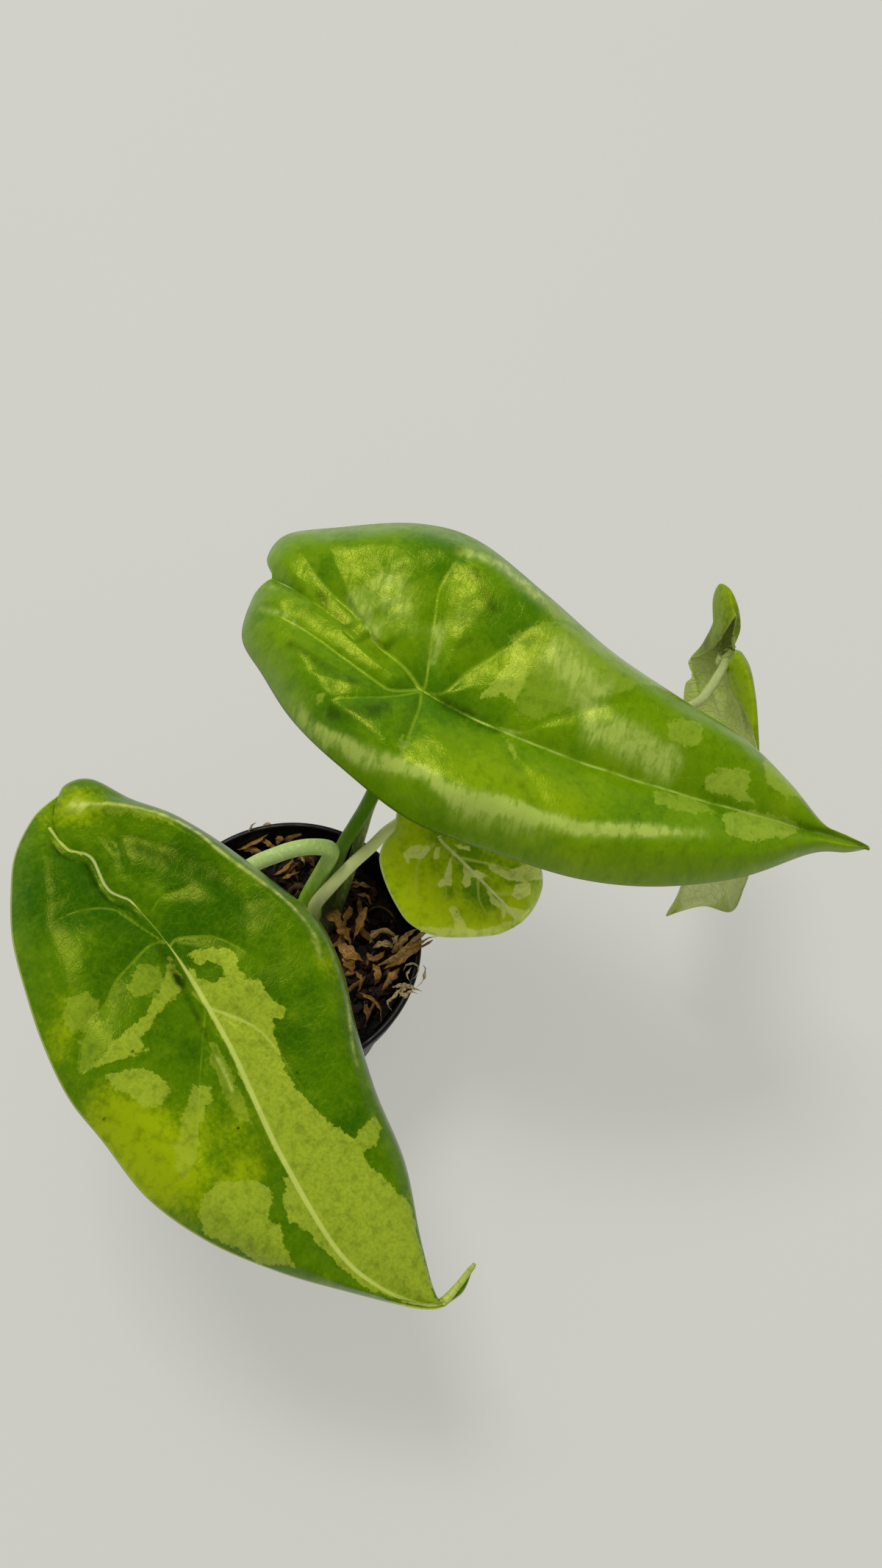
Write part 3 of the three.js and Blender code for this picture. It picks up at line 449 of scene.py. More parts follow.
leafBack = {
    "name": "leafBack", "node": "leaf_back", "rows": 250, "columns": 62, "skin": 0.75,
    "junction": (47, 41.5, 162), "heading": -14.5, "dip": 6, "bank": 8,
    "tipDroop": 20, "tipLength": 140, "lobeDroop": 8, "lobeLength": 50,
    "crest": (4.5, 5), "crestAt": (0.72, 0.75), "drop": ((5, 4), (7, 4)),
    "wave": ((1, 2.5, 0.1), (1.2, 2.2, 0.4)),
    "bulge": 4.2, "waves": 0.7,
    "midrib": [(-55.5, 26.5), (-29.5, 14), (-5.5, 2), (14, -3.5), (46, -7), (86.5, -6.5), (118, -4),
               (142, -2)],
    "left": [(-56, 28), (-59.5, 34.5), (-56, 43.5), (-41, 49), (-17.5, 55.5), (2, 54.5), (26, 43.5),
             (50, 32), (73.5, 25), (96.5, 19), (113, 10), (126.6, 0), (134.2, -1), (141.3, -1.4)],
    "right": [(-56.8, 25.3), (-60, 21), (-59.5, 7.5), (-49.5, -3.5), (-36, -16.5), (-19, -27), (5.5, -37.5),
              (32, -39.5), (57.5, -39.5), (81, -34.5), (104.5, -24), (124.2, -9.6), (135.1, -5.4),
              (141.2, -2.2)],
    "ribStart": 0.3,
    "ribForce": [(0, 0.3), (0.3, 0.02), (0.4, 0.03), (0.45, 0.34), (0.6, 0.36), (0.85, 0.28), (1, 0.2)],
    "veins": [
        [(573, 938), (551, 910), (515, 879), (484, 840), (438, 797), (398, 741)],
        [(573, 938), (533, 939), (515, 930), (472, 901), (423, 867), (380, 844), (361, 840)],
        [(573, 942), (530, 950), (484, 953), (447, 956), (423, 965)],
        [(573, 942), (570, 965), (561, 990), (548, 1027), (550, 1048), (558, 1079), (576, 1109),
         (594, 1134)],
        [(575, 936), (579, 931), (588, 864), (596, 809), (607, 787), (625, 763), (640, 755)],
        [(580, 942), (604, 944), (637, 916), (674, 892), (714, 862), (753, 850)],
        [(690, 998), (720, 997), (750, 983), (800, 968), (850, 962), (887, 960)],
        [(685, 996), (696, 1005), (702, 1036), (729, 1079), (750, 1110), (793, 1137), (820, 1163),
         (850, 1183), (887, 1195)],
        [(850, 1060), (900, 1062), (960, 1060), (1010, 1066)],
        [(900, 1073), (930, 1100), (980, 1135), (1030, 1160)],
        [(520, 880), (506, 866), (492, 850), (480, 790), (483, 728)],
    ],
    "veinForces": [1, 1, 0.7, 0.8, 0.8, 0.8, 0.6, 0.45, 0.4, 0.4, 0.3],
    # painted sheens, and painted shade along the valleys: half width in mm, strength from painted shade
    # (-1) to painted highlight (1), then the line
    "sheenShadeAndVeinStrokes": [
        (2.6, -0.55, [(640, 772), (652, 805), (680, 850)]),
        (2.2, -0.5, [(380, 868), (430, 905), (500, 940)]),
        (3.4, -0.6, [(430, 967), (480, 977), (545, 962)]),
        (2.4, -0.5, [(590, 957), (640, 978), (690, 1003)]),
        (2.0, -0.5, [(420, 800), (470, 850), (530, 905)]),
        (2.4, -0.32, [(572, 955), (562, 985), (552, 1015)]),
        (2.2, -0.4, [(590, 925), (610, 890), (660, 870)]),
        (2.0, -0.4, [(700, 1060), (730, 1110), (760, 1150)]),
        (
            2.2, 1.1,
            [(395, 930), (400, 955), (415, 980), (450, 1005), (505, 1035), (545, 1045), (580, 1057),
             (612, 1083), (650, 1095), (700, 1102), (755, 1122), (810, 1133), (900, 1135), (980, 1142)],
        ),
        (4.5, 0.5, [(600, 1085), (650, 1103), (710, 1118), (770, 1135)]),
        (6.5, 0.85, [(735, 880), (765, 905), (790, 935), (830, 960)]),
        (5.0, 0.9, [(780, 985), (830, 1003), (880, 1028), (930, 1052)]),
        (3.5, 0.6, [(480, 800), (500, 850), (515, 885)]), (1.5, -0.3, [(573, 939), (612, 957), (655, 984)]),
        (1.2, 0.6, [(352, 828), (366, 836), (392, 846), (410, 862)]),
        (2.8, 0.6, [(592, 848), (595, 880), (590, 916)]), (4.5, 0.42, [(508, 785), (528, 812), (545, 852)]),
        (2.6, 0.8, [(612, 752), (650, 762), (690, 778), (725, 808), (745, 835)]),
        (4.0, 0.3, [(530, 775), (548, 830), (555, 880)]), (3.0, 0.3, [(650, 800), (632, 840), (625, 870)]),
        (0.9, 0.6, [(566, 974), (558, 1000), (548, 1024)]),
        (0.5, 0.7, [(622, 966), (660, 984), (715, 1002)]),
        (1.8, 0.3, [(352, 806), (372, 800), (400, 815), (425, 835)]),
    ],
    "patches": [
        (
            [(700, 873), (722, 862), (726, 890), (716, 930), (699, 958), (680, 950), (645, 957), (672, 930),
             (690, 905)],
            1.0,
        ),
        ([(905, 992), (925, 985), (950, 990), (948, 1018), (925, 1022), (905, 1012)], 0.6),
        (
            [(958, 1062), (975, 1050), (1015, 1052), (1020, 1066), (1012, 1080), (1026, 1096), (990, 1088),
             (962, 1080)],
            0.85,
        ),
        ([(1034, 1040), (1046, 1034), (1075, 1062), (1092, 1085), (1070, 1088), (1040, 1070)], 0.75),
        ([(885, 1074), (960, 1092), (968, 1106), (940, 1112), (890, 1096)], 0.6),
        (
            [(980, 1110), (1010, 1104), (1066, 1112), (1090, 1126), (1070, 1140), (1020, 1148),
             (985, 1140)],
            0.8,
        ),
        # a faint wide patch that paints the sheen on the upper half: painted highlight
        (
            [(690, 868), (740, 850), (830, 866), (900, 900), (905, 935), (840, 950), (780, 960), (730, 985),
             (700, 975), (716, 930)],
            0.38,
        ),
        ([(682, 1000), (692, 1006), (704, 1036), (696, 1034)], 0.8),
        ([(540, 1010), (548, 1002), (552, 1020), (544, 1034)], 0.6),
        ([(735, 812), (760, 820), (780, 850), (752, 846)], 0.5),
        ([(430, 950), (442, 950), (440, 958), (430, 960)], 0.7),
    ],
    "tonesShadeAndHighlight": [(430, 900, 26, 0.35), (800, 1180, 50, 0.3), (500, 1060, 40, 0.3), (1060, 1105, 26, 0.4),
              (1145, 1142, 30, 0.8), (440, 775, 18, -0.7), (520, 790, 45, 0.0), (500, 870, 35, 0.2),
              (700, 845, 24, -0.9), (614, 768, 16, -0.8), (560, 760, 34, -0.3), (690, 862, 20, -0.7),
              (605, 775, 16, -0.5), (650, 850, 30, -0.4), (385, 805, 22, 0.3), (500, 980, 32, -0.7),
              (450, 985, 22, -0.6), (600, 962, 32, -0.9), (660, 985, 24, -0.6), (560, 1005, 18, -0.5),
              (640, 1050, 36, 0.75), (720, 1072, 36, 0.75), (560, 940, 26, -0.7), (430, 930, 26, -0.3),
              (440, 890, 18, -0.3), (770, 1100, 30, 0.5), (560, 1030, 26, 0.3), (700, 1030, 26, -0.35),
              (850, 1010, 40, 0.35), (930, 1030, 36, 0.1), (480, 905, 18, -0.5), (740, 1160, 60, 0.1),
              (930, 1165, 50, 0.2), (590, 740, 26, -0.3), (860, 1120, 30, -0.2)],
    "specks": [(955, 1072, 4), (868, 1112, 4), (368, 742, 5), (1022, 1148, 4), (710, 989, 6)],
    "feel": {"ior": 1.42, "ragged": 1.0, "mottle": 0.75, "ridges": 0.5, "gloss": 0.21, "rib": (0.2, 0.8)},
    "colours": {
        "deep": (0.055, 0.18, 0.0003), "bright": (0.14, 0.285, 0.0005), "yellow": (0.22, 0.36, 0.001),
        "cream": (0.34, 0.47, 0.04), "vein": (0.27, 0.42, 0.02), "midrib": (0.4, 0.53, 0.09),
        "edge": (0.15, 0.27, 0.01), "under": (0.17, 0.27, 0.035),
    },
}

leafYoung = {
    "name": "leafYoung", "node": "leaf_young", "rows": 130, "columns": 44, "skin": 0.6,
    "junction": (52, 18.5, 107), "heading": -38, "dip": 20, "bank": 4,
    "tipDroop": 9, "tipLength": 38, "lobeDroop": 3, "lobeLength": 16,
    "crest": (2.5, 2.5), "crestAt": (0.55, 0.6), "drop": ((4, 3), (5, 4)),
    "wave": ((0.5, 2, 0.1), (0.6, 2, 0.4)),
    "bulge": 0.9, "waves": 0.15,
    "midrib": [(-10.5, 4), (-2.5, 0.5), (8.5, 0), (21.5, 0), (32.5, 0), (36, -2.4)],
    "left": [(-11, 9), (-6, 13), (1.5, 16), (12, 18.5), (21.5, 20), (29, 19.5), (34, 16), (36.5, 11.5),
             (37.6, 6.5), (37.4, 2.2), (37, 0.4), (36.1, -1.8)],
    "right": [(-15.5, 4), (-17.5, 0), (-14.5, -5.5), (-14, -11), (-11.5, -16.5), (-5.5, -21), (1.5, -24),
              (9, -25.5), (17.5, -23), (25.5, -16.5), (33, -8.5), (35.8, -3)],
    "ribStart": 0.22,
    "ribForce": [(0, 0.3), (0.3, 0.5), (0.8, 0.35), (1, 0.15)],
    "veins": [
        [(590, 1148), (570, 1172), (566, 1205), (574, 1240)], [(618, 1158), (606, 1200), (610, 1238)],
        [(650, 1194), (652, 1225), (668, 1252)], [(628, 1168), (668, 1176), (716, 1190)],
        [(672, 1216), (700, 1216), (722, 1206)],
    ],
    "patches": [
        (
            [(548, 1160), (560, 1150), (583, 1150), (586, 1157), (575, 1170), (558, 1168), (556, 1176),
             (550, 1172)],
            0.8,
        ),
        ([(592, 1152), (598, 1152), (597, 1166), (590, 1172), (588, 1166)], 0.8),
        ([(613, 1167), (615, 1185), (613, 1206), (606, 1203), (598, 1210), (593, 1203), (604, 1190)], 0.85),
        (
            [(628, 1172), (640, 1184), (652, 1184), (664, 1192), (656, 1196), (641, 1194), (642, 1204),
             (633, 1208), (626, 1200), (632, 1190)],
            0.85,
        ),
        ([(615, 1148), (640, 1152), (640, 1158), (624, 1156)], 0.8),
        ([(660, 1172), (690, 1184), (735, 1170), (742, 1196), (715, 1200), (690, 1198), (668, 1186)], 0.7),
        ([(700, 1204), (722, 1200), (722, 1216), (706, 1226), (696, 1218)], 0.75),
        (
            [(660, 1206), (680, 1228), (712, 1238), (724, 1236), (704, 1256), (690, 1240), (684, 1252),
             (680, 1236), (668, 1228)],
            0.7,
        ),
        ([(610, 1236), (618, 1232), (626, 1246), (634, 1262), (660, 1268), (640, 1280), (620, 1270)], 0.55),
        (
            [(560, 1262), (600, 1276), (660, 1276), (700, 1260), (716, 1246), (700, 1252), (650, 1266),
             (600, 1262)],
            0.45,
        ),
    ],
    "tonesShadeAndHighlight": [(590, 1178, 16, -0.6), (642, 1206, 16, -0.7), (668, 1230, 14, -0.6), (705, 1196, 14, -0.5),
              (560, 1190, 25, 0.2), (600, 1235, 30, 0.35), (560, 1140, 20, 0.3), (590, 1140, 16, -0.5),
              (640, 1165, 20, -0.6), (610, 1214, 9, -0.8), (640, 1220, 25, -0.1), (700, 1180, 20, -0.3),
              (650, 1240, 20, -0.2)],
    "specks": [(566, 1169, 3), (621, 1241, 4), (685, 1262, 3), (684, 1256, 2)],
    "feel": {"ior": 1.35, "ragged": 0.35, "mottle": 0.85, "ridges": 0.2, "gloss": 0.3, "rib": (0.6, 0.9)},
    "colours": {
        "deep": (0.13, 0.29, 0.0004), "bright": (0.5, 0.67, 0.001), "yellow": (0.7, 0.8, 0.01),
        "cream": (0.92, 0.97, 0.26), "vein": (0.62, 0.72, 0.1), "midrib": (0.82, 0.88, 0.4),
        "edge": (0.8, 0.86, 0.38), "under": (0.34, 0.42, 0.08),
    },
}

leafFolded = {
    "name": "leafFolded", "node": "leaf_folded", "rows": 170, "columns": 64, "skin": 0.6,
    "junction": (147.5, 84, 112), "heading": -101, "dip": 50.8, "bank": -121,
    "tipDroop": 5, "tipLength": 90, "lobeDroop": 2, "lobeLength": 25,
    "crest": (1.5, 2), "crestAt": (0.5, 0.5), "drop": ((4, 2), (5, 3)),
    "wave": ((0.4, 2, 0.1), (0.8, 2, 0.4)),
    "bulge": 0.7, "waves": 0.2,
    # how far each edge point's margin is turned back, in mm: (towards the tip, to the left, down)
    "fold": (
        [(0, 0, 0), (0, 0, 0), (-0.2, -2, 1.6), (7.2, -6.1, 1.6), (12.6, -11.3, 1.6), (11.9, -10.7, 1.6),
         (11.1, -3.8, 1.6), (5, -1.5, 1.6), (0, 0, 0), (0, 0, 0), (0, 0, 0), (0, 0, 0), (0, 0, 0),
         (0, 0, 0)],
        [(0, 0, 0), (0.3, -1, 2), (2.6, 5.8, 2), (4.2, 8.3, 2), (4.1, 7.3, 2), (1.9, 3.6, 2),
         (0.2, -0.5, 2), (0, 0, 0), (0, 0, 0), (0, 0, 0), (0, 0, 0), (0, 0, 0), (0, 0, 0), (0, 0, 0)],
    ),
    "midrib": [(-4.5, -1.5), (1, 1), (9.5, 3.5), (20, 9), (41.5, 6.5), (77, -7), (96, -3.5)],
    "left": [(-4.1, -2.8), (-9.5, -2.6), (-17.3, -4.6), (-23.6, -0.7), (-24.3, 6.4), (-18.6, 9.7),
             (-13.2, 7.4), (-2.2, 11.7), (7.4, 18.8), (12.1, 15.6), (21.2, 17.7), (62, 2), (82, -7),
             (95.3, -3)],
    "right": [(-4.3, -3.2), (-5.8, -8), (-4.4, -13.5), (-2, -17.9), (2.6, -21.9), (7.8, -25.4),
              (14.8, -29.4), (23.2, -33.9), (43, -41.5), (55.5, -43.5), (64, -42), (75, -38), (82, -21.5),
              (95.3, -4.2)],
    "ribStart": 0.12,
    "flatVeins": [
        [(2, 1), (10, -8), (22, -19), (30, -30)], [(12, 4), (26, -8), (40, -22), (50, -36)],
        [(30, 9), (44, -4), (58, -20), (66, -36)], [(50, 7), (62, -6), (74, -20), (80, -32)],
        [(-2, -1), (-10, -2), (-20, 0)], [(20, 9), (28, 12), (36, 12)],
    ],
    # half width in mm, strength from dark (-1) to pale (1), then the line; the dark one is painted shade in
    # the fold's trough, the pale ones are veins
    "sheenShadeAndVeinStrokes": [
        (0.9, -0.35, [(973, 842), (975, 852), (975, 865), (968, 880), (960, 886)]),
        (0.35, 0.7, [(976, 1198), (984, 1212), (990, 1225), (993, 1238)]),
        (0.35, 0.7, [(962, 1200), (952, 1208), (942, 1218)]),
    ],
    "patches": [
        ([(945, 905), (958, 900), (966, 915), (950, 935), (940, 925)], 0.35),
        ([(930, 1192), (976, 1192), (986, 1215), (968, 1240), (926, 1240)], 0.9),
        ([(976, 1196), (1018, 1193), (1005, 1222), (995, 1240), (990, 1225)], 0.5),
    ],
    "tonesShadeAndHighlight": [(965, 875, 20, -0.2), (1020, 960, 25, 0.3), (945, 1208, 16, -0.9)],
    "specks": [],
    "feel": {"ior": 1.35, "ragged": 0.8, "mottle": 0.8, "ridges": 0.2, "gloss": 0.35, "rib": (0.6, 0.9)},
    "colours": {
        "deep": (0.06, 0.085, 0.002), "bright": (0.22, 0.34, 0.003), "yellow": (0.26, 0.38, 0.005),
        "cream": (0.72, 0.76, 0.38), "vein": (0.3, 0.4, 0.04), "midrib": (0.46, 0.54, 0.16),
        "edge": (0.3, 0.37, 0.07), "under": (0.48, 0.59, 0.15),
    },
}


def leafAxes(leaf):
    heading, dip, bank = (math.radians(leaf[key]) for key in ("heading", "dip", "bank"))
    along = np.array([math.cos(dip) * math.cos(heading), math.cos(dip) * math.sin(heading), -math.sin(dip)])
    level = np.array([-math.sin(heading), math.cos(heading), 0.0])
    across = level * math.cos(bank) + np.cross(along, level) * math.sin(bank)
    return along, across, np.cross(along, across)


def sectionHeight(leaf, s, w, side):
    # the crest is rounded off by averaging over its neighbourhood
    spread = 0.11 * np.clip((1 - w) / 0.16, 0, 1) * np.clip(w / 0.12, 0, 1)
    return sum(crestHeight(leaf, s, w + spread * k, side) for k in (-1, -0.5, 0, 0.5, 1)) / 5


def crestHeight(leaf, s, w, side):
    crest, crestAt = leaf["crest"][side], leaf["crestAt"][side]
    first, last = leaf["drop"][side]
    height, waves, start = leaf["wave"][side]
    inside = crest * np.sin(np.clip(w / crestAt, 0, 1) * math.pi / 2) ** 1.3
    beyond = np.clip((w - crestAt) / (1 - crestAt), 0, 1) ** 2.2
    outside = crest - (crest + first + (last - first) * s) * beyond
    wave = height * np.sin(2 * math.pi * (waves * s + start)) * w**3
    return np.maximum(0, np.sin(math.pi * s)) ** 0.6 * (np.where(w < crestAt, inside, outside) + wave)


def middleLine(leaf, s):
    # the midrib, and before it the seam where the two lobes meet
    line = catmull(leaf["midrib"], s)
    if "seam" in leaf:
        end = leaf["split"][0]
        line = np.where((s < end)[:, None], catmull(leaf["seam"], s / end), line)
    return line


def bladePoints(leaf, s, w, side):
    # places in metres of one half's points, and their flat places in mm
    middle = middleLine(leaf, s)
    edge = catmull(leaf["left" if side == 0 else "right"], s)
    reach = edge - middle
    length = np.linalg.norm(reach, axis=1)
    fold = leaf.get("fold")
    foldAt = bladeSkin["foldAt"]
    out = np.minimum(1, w / foldAt) if fold else w
    turned = np.maximum(0, (w - foldAt) / (1 - foldAt)) if fold else np.zeros_like(w)
    flat = middle + reach * out[:, None]
    gap = (1 - out) * length
    if "split" in leaf:
        end, width = leaf["split"]
        sign = 0.5 if side == 0 else -0.5
        flat[:, 1] += sign * width * np.maximum(0, 1 - s / end) * (1 - out)
    a = flat[:, 0]
    rise = np.where(a > 0, -leaf["tipDroop"] * (a / leaf["tipLength"]) ** 2,
                    -leaf["lobeDroop"] * (a / leaf["lobeLength"]) ** 2)
    if "tipCurl" in leaf:
        height, start = leaf["tipCurl"]
        rise += height * (np.maximum(0, s - start) / (1 - start)) ** 2
    rise += sectionHeight(leaf, s, out, side)
    if "tuck" in leaf and leaf["tuck"][0] == side:
        rise -= leaf["tuck"][1] * np.maximum(0, 1 - s / leaf["tuck"][2])
    if fold:
        back = catmull(fold[side], s)
        gap = gap + (1 - turned) * np.linalg.norm(back, axis=1)
        flat = flat + back[:, :2] * (turned**2)[:, None]
        rise = rise - back[:, 2] * (1 - (1 - turned) ** 2)
    along, across, up = leafAxes(leaf)
    points = np.array(leaf["junction"]) + flat[:, :1] * along + flat[:, 1:] * across + rise[:, None] * up
    return points * mm, flat, gap


def outlineGap(flat, outline):
    # distance in mm to a closed outline, positive inside it
    inside = np.zeros(len(flat), bool)
    nearest = np.full(len(flat), 1e9)
    for p, q in zip(outline, np.roll(outline, -1, axis=0)):
        step = q - p
        share = np.clip(((flat - p) @ step) / max(step @ step, 1e-9), 0, 1)
        nearest = np.minimum(nearest, np.linalg.norm(flat - p - share[:, None] * step, axis=1))
        crosses = (p[1] > flat[:, 1]) != (q[1] > flat[:, 1])
        at = p[0] + (flat[:, 1] - p[1]) / (step[1] if step[1] else 1e-9) * step[0]
        inside ^= crosses & (flat[:, 0] < at)
    return np.where(inside, nearest, -nearest)


def readTree(points):
    tree = kdtree.KDTree(len(points))
    for i, point in enumerate(points):
        tree.insert((point[0], point[1], 0), i)
    tree.balance()
    return tree


def makeBlade(leaf, materials):
    bm = bmesh.new()
    for side in (0, 1):
        grid = bmesh.ops.create_grid(bm, x_segments=leaf["rows"], y_segments=leaf["columns"], size=0.5)
        for vert in grid["verts"]:
            vert.co = (vert.co.x + 0.5, vert.co.y + 0.5, side)
        if side == 1:
            faces = list({face for vert in grid["verts"] for face in vert.link_faces})
            bmesh.ops.reverse_faces(bm, faces=faces)
    places = np.array([vert.co[:] for vert in bm.verts])
    points, flat, edgeGap = np.zeros((len(places), 3)), np.zeros((len(places), 2)), np.zeros(len(places))
    for side in (0, 1):
        mine = places[:, 2] == side
        points[mine], flat[mine], edgeGap[mine] = bladePoints(leaf, places[mine, 0], places[mine, 1], side)

    # veins and patches are read off the photograph and laid on the blade
    pixelTree = readTree(toPhoto(points))

    def onBlade(x, y):
        found = pixelTree.find_n((x, y, 0), 3)
        weights = np.array([1 / (item[2] + 0.2) for item in found])
        return (flat[[item[1] for item in found]] * weights[:, None]).sum(axis=0) / weights.sum()

    veins = [[onBlade(x, y) for x, y in vein] for vein in leaf.get("veins", [])]
    veins += [[np.array(p, float) for p in vein] for vein in leaf.get("flatVeins", [])]
    samples = np.concatenate([evenly(vein, bladeSkin["veinSteps"]) for vein in veins])
    force = np.outer(np.ones(len(veins)), 1 - 0.75 * np.linspace(0, 1, bladeSkin["veinSteps"]) ** 1.5)
    force = (force * np.array(leaf.get("veinForces", [1] * len(veins)))[:, None]).ravel()
    veinTree = readTree(samples)
    found = [veinTree.find((p[0], p[1], 0)) for p in flat]
    veinGap = np.array([item[2] for item in found])
    veinForce = force[[item[1] for item in found]]
    ribPlaces = np.linspace(leaf.get("ribStart", 0.0), 1, bladeSkin["ribSteps"])
    ribTree = readTree(middleLine(leaf, ribPlaces))
    found = [ribTree.find((p[0], p[1], 0)) for p in flat]
    ribGap = np.array([item[2] for item in found])
    forces = np.array(leaf.get("ribForce", [(0, 1), (1, 0.2)]))
    ribForce = np.interp(ribPlaces, forces[:, 0], forces[:, 1])[[item[1] for item in found]]

    def lineGap(route):
        # distance to a line in mm, and how near its ends that is (0) or its middle (1)
        line = evenly([onBlade(x, y) for x, y in route], bladeSkin["lineSteps"])
        tree = readTree(line)
        nearest = [tree.find((p[0], p[1], 0)) for p in flat]
        share = np.array([item[1] for item in nearest]) / (bladeSkin["lineSteps"] - 1)
        return np.array([item[2] for item in nearest]), np.clip(np.sin(math.pi * share) * 2.2, 0, 1)

    # painted sheens and painted shade laid along lines; on the folded leaf the pale lines are veins
    sheenShadeAndVein = np.zeros(len(flat))
    for width, strength, route in leaf.get("sheenShadeAndVeinStrokes", []):
        gap, inner = lineGap(route)
        sheenShadeAndVein += strength * np.exp(-((gap / width) ** 2)) * inner

    patchGap, patchForce = np.full(len(flat), -bladeSkin["noPatch"]), np.full(len(flat), 0.5)
    for outline, strength in leaf["patches"]:
        gap = outlineGap(flat, np.array([onBlade(x, y) for x, y in outline]))
        if strength < 0:
            # an island of plain green
            patchGap = np.minimum(patchGap, -gap)
            continue
        closer = gap > patchGap
        patchGap[closer], patchForce[closer] = gap[closer], strength
    pixels = toPhoto(points)
    # soft spots of tone: partly the leaf's own patchy green, partly painted shade in valleys and folds and
    # painted highlight where the blade catches the light
    tone = np.zeros(len(flat))
    for x, y, radius, amount in leaf["tonesShadeAndHighlight"]:
        tone += amount * np.exp(-((pixels[:, 0] - x) ** 2 + (pixels[:, 1] - y) ** 2) / (1.2 * radius) ** 2)
    speckGap = np.full(len(flat), bladeSkin["noSpeck"])
    for x, y, size in leaf["specks"]:
        away = np.linalg.norm(flat - onBlade(x, y), axis=1) / (size * 0.22 / 2)
        speckGap = np.minimum(speckGap, away)

    # the skin swells between the veins and dips along them
    valley = np.maximum(veinForce * np.exp(-veinGap / bladeSkin["veinReach"]),
                        np.exp(-ribGap / bladeSkin["ribReach"]))
    inland = np.clip(edgeGap / bladeSkin["swellReach"], 0, 1)
    swell = leaf["bulge"] * (1 - valley) * inland**2 * (3 - 2 * inland)
    groove = 0.2 * veinForce * np.exp(-((veinGap / 0.8) ** 2))
    ridge = 0.5 * ribForce * np.exp(-((ribGap / (0.4 + ribForce)) ** 2))
    lift = (swell - groove + ridge) * np.clip(places[:, 0] * (1 - places[:, 0]) * 12, 0, 1)
    waves = [noise.noise(Vector((p[0], p[1], 0)) / 11) + 0.35 * noise.noise(Vector((p[0], p[1], 9)) / 4)
             for p in flat]
    lift += leaf["waves"] * np.array(waves) * np.clip(edgeGap / 5, 0, 1)
    for height, width, route in leaf.get("creases", []):
        gap, inner = lineGap(route)
        lift += height * np.exp(-((gap / width) ** 2)) * inner
    _, _, up = leafAxes(leaf)
    points = points + lift[:, None] * mm * up

    patchGap = np.clip(patchGap, -bladeSkin["noPatch"], bladeSkin["noPatch"])
    values = {"veinGap": veinGap, "veinForce": veinForce, "ribGap": ribGap, "ribForce": ribForce,
              "patchGap": patchGap, "patchForce": patchForce, "tone": tone, "sheenShadeAndVein": sheenShadeAndVein,
              "edgeGap": edgeGap, "speckGap": speckGap, "flatA": flat[:, 0], "flatB": flat[:, 1]}
    layers = {name: bm.verts.layers.float.new(name) for name in values}
    for i, vert in enumerate(bm.verts):
        vert.co = points[i]
        for name, layer in layers.items():
            vert[layer] = values[name][i]
    bmesh.ops.remove_doubles(bm, verts=bm.verts, dist=0.004 * mm)
    bmesh.ops.smooth_vert(bm, verts=bm.verts, factor=0.4, use_axis_x=True, use_axis_y=True, use_axis_z=True)
    blade = addPiece(leaf["name"], bm, materials)
    thickenBlade(blade, leaf["skin"])
    dress(blade, leaf["node"], leaf["node"])


def thickenBlade(blade, skin):
    # a wall that is thin at the margin, with keels below the ribs, the veins and the stalk
    mesh = blade.data
    count = len(mesh.vertices)
    read = {}
    for name in ("veinGap", "veinForce", "ribGap", "ribForce", "edgeGap", "flatA", "flatB"):
        read[name] = np.zeros(count, np.float32)
        mesh.attributes[name].data.foreach_get("value", read[name])
    fromStalk = np.hypot(read["flatA"], read["flatB"])
    thick = skin * (0.45 + 0.55 * np.clip(read["edgeGap"] / 4, 0, 1))
    keels = (("ribKeel", read["ribForce"], read["ribGap"]),
             ("veinKeel", read["veinForce"], read["veinGap"]), ("stalkKeel", 1, fromStalk))
    for key, force, gap in keels:
        height, width = bladeSkin[key]
        thick += height * force * np.exp(-((gap / width) ** 2))
    group = blade.vertex_groups.new(name="thickness")
    most = float(thick.max())
    for i in range(count):
        group.add((i,), float(thick[i]) / most, "REPLACE")
    wall = blade.modifiers.new("skin", "SOLIDIFY")
    wall.thickness = most * mm
    wall.offset = -1
    wall.vertex_group = "thickness"
    wall.material_offset = 1
    wall.material_offset_rim = 1


def flatPlace(skin):
    # the place on the flat drawing of the leaf, in mm
    node = skin.add("ShaderNodeCombineXYZ")
    skin.feed(node.inputs["X"], skin.attribute("flatA"))
    skin.feed(node.inputs["Y"], skin.attribute("flatB"))
    return node.outputs["Vector"]


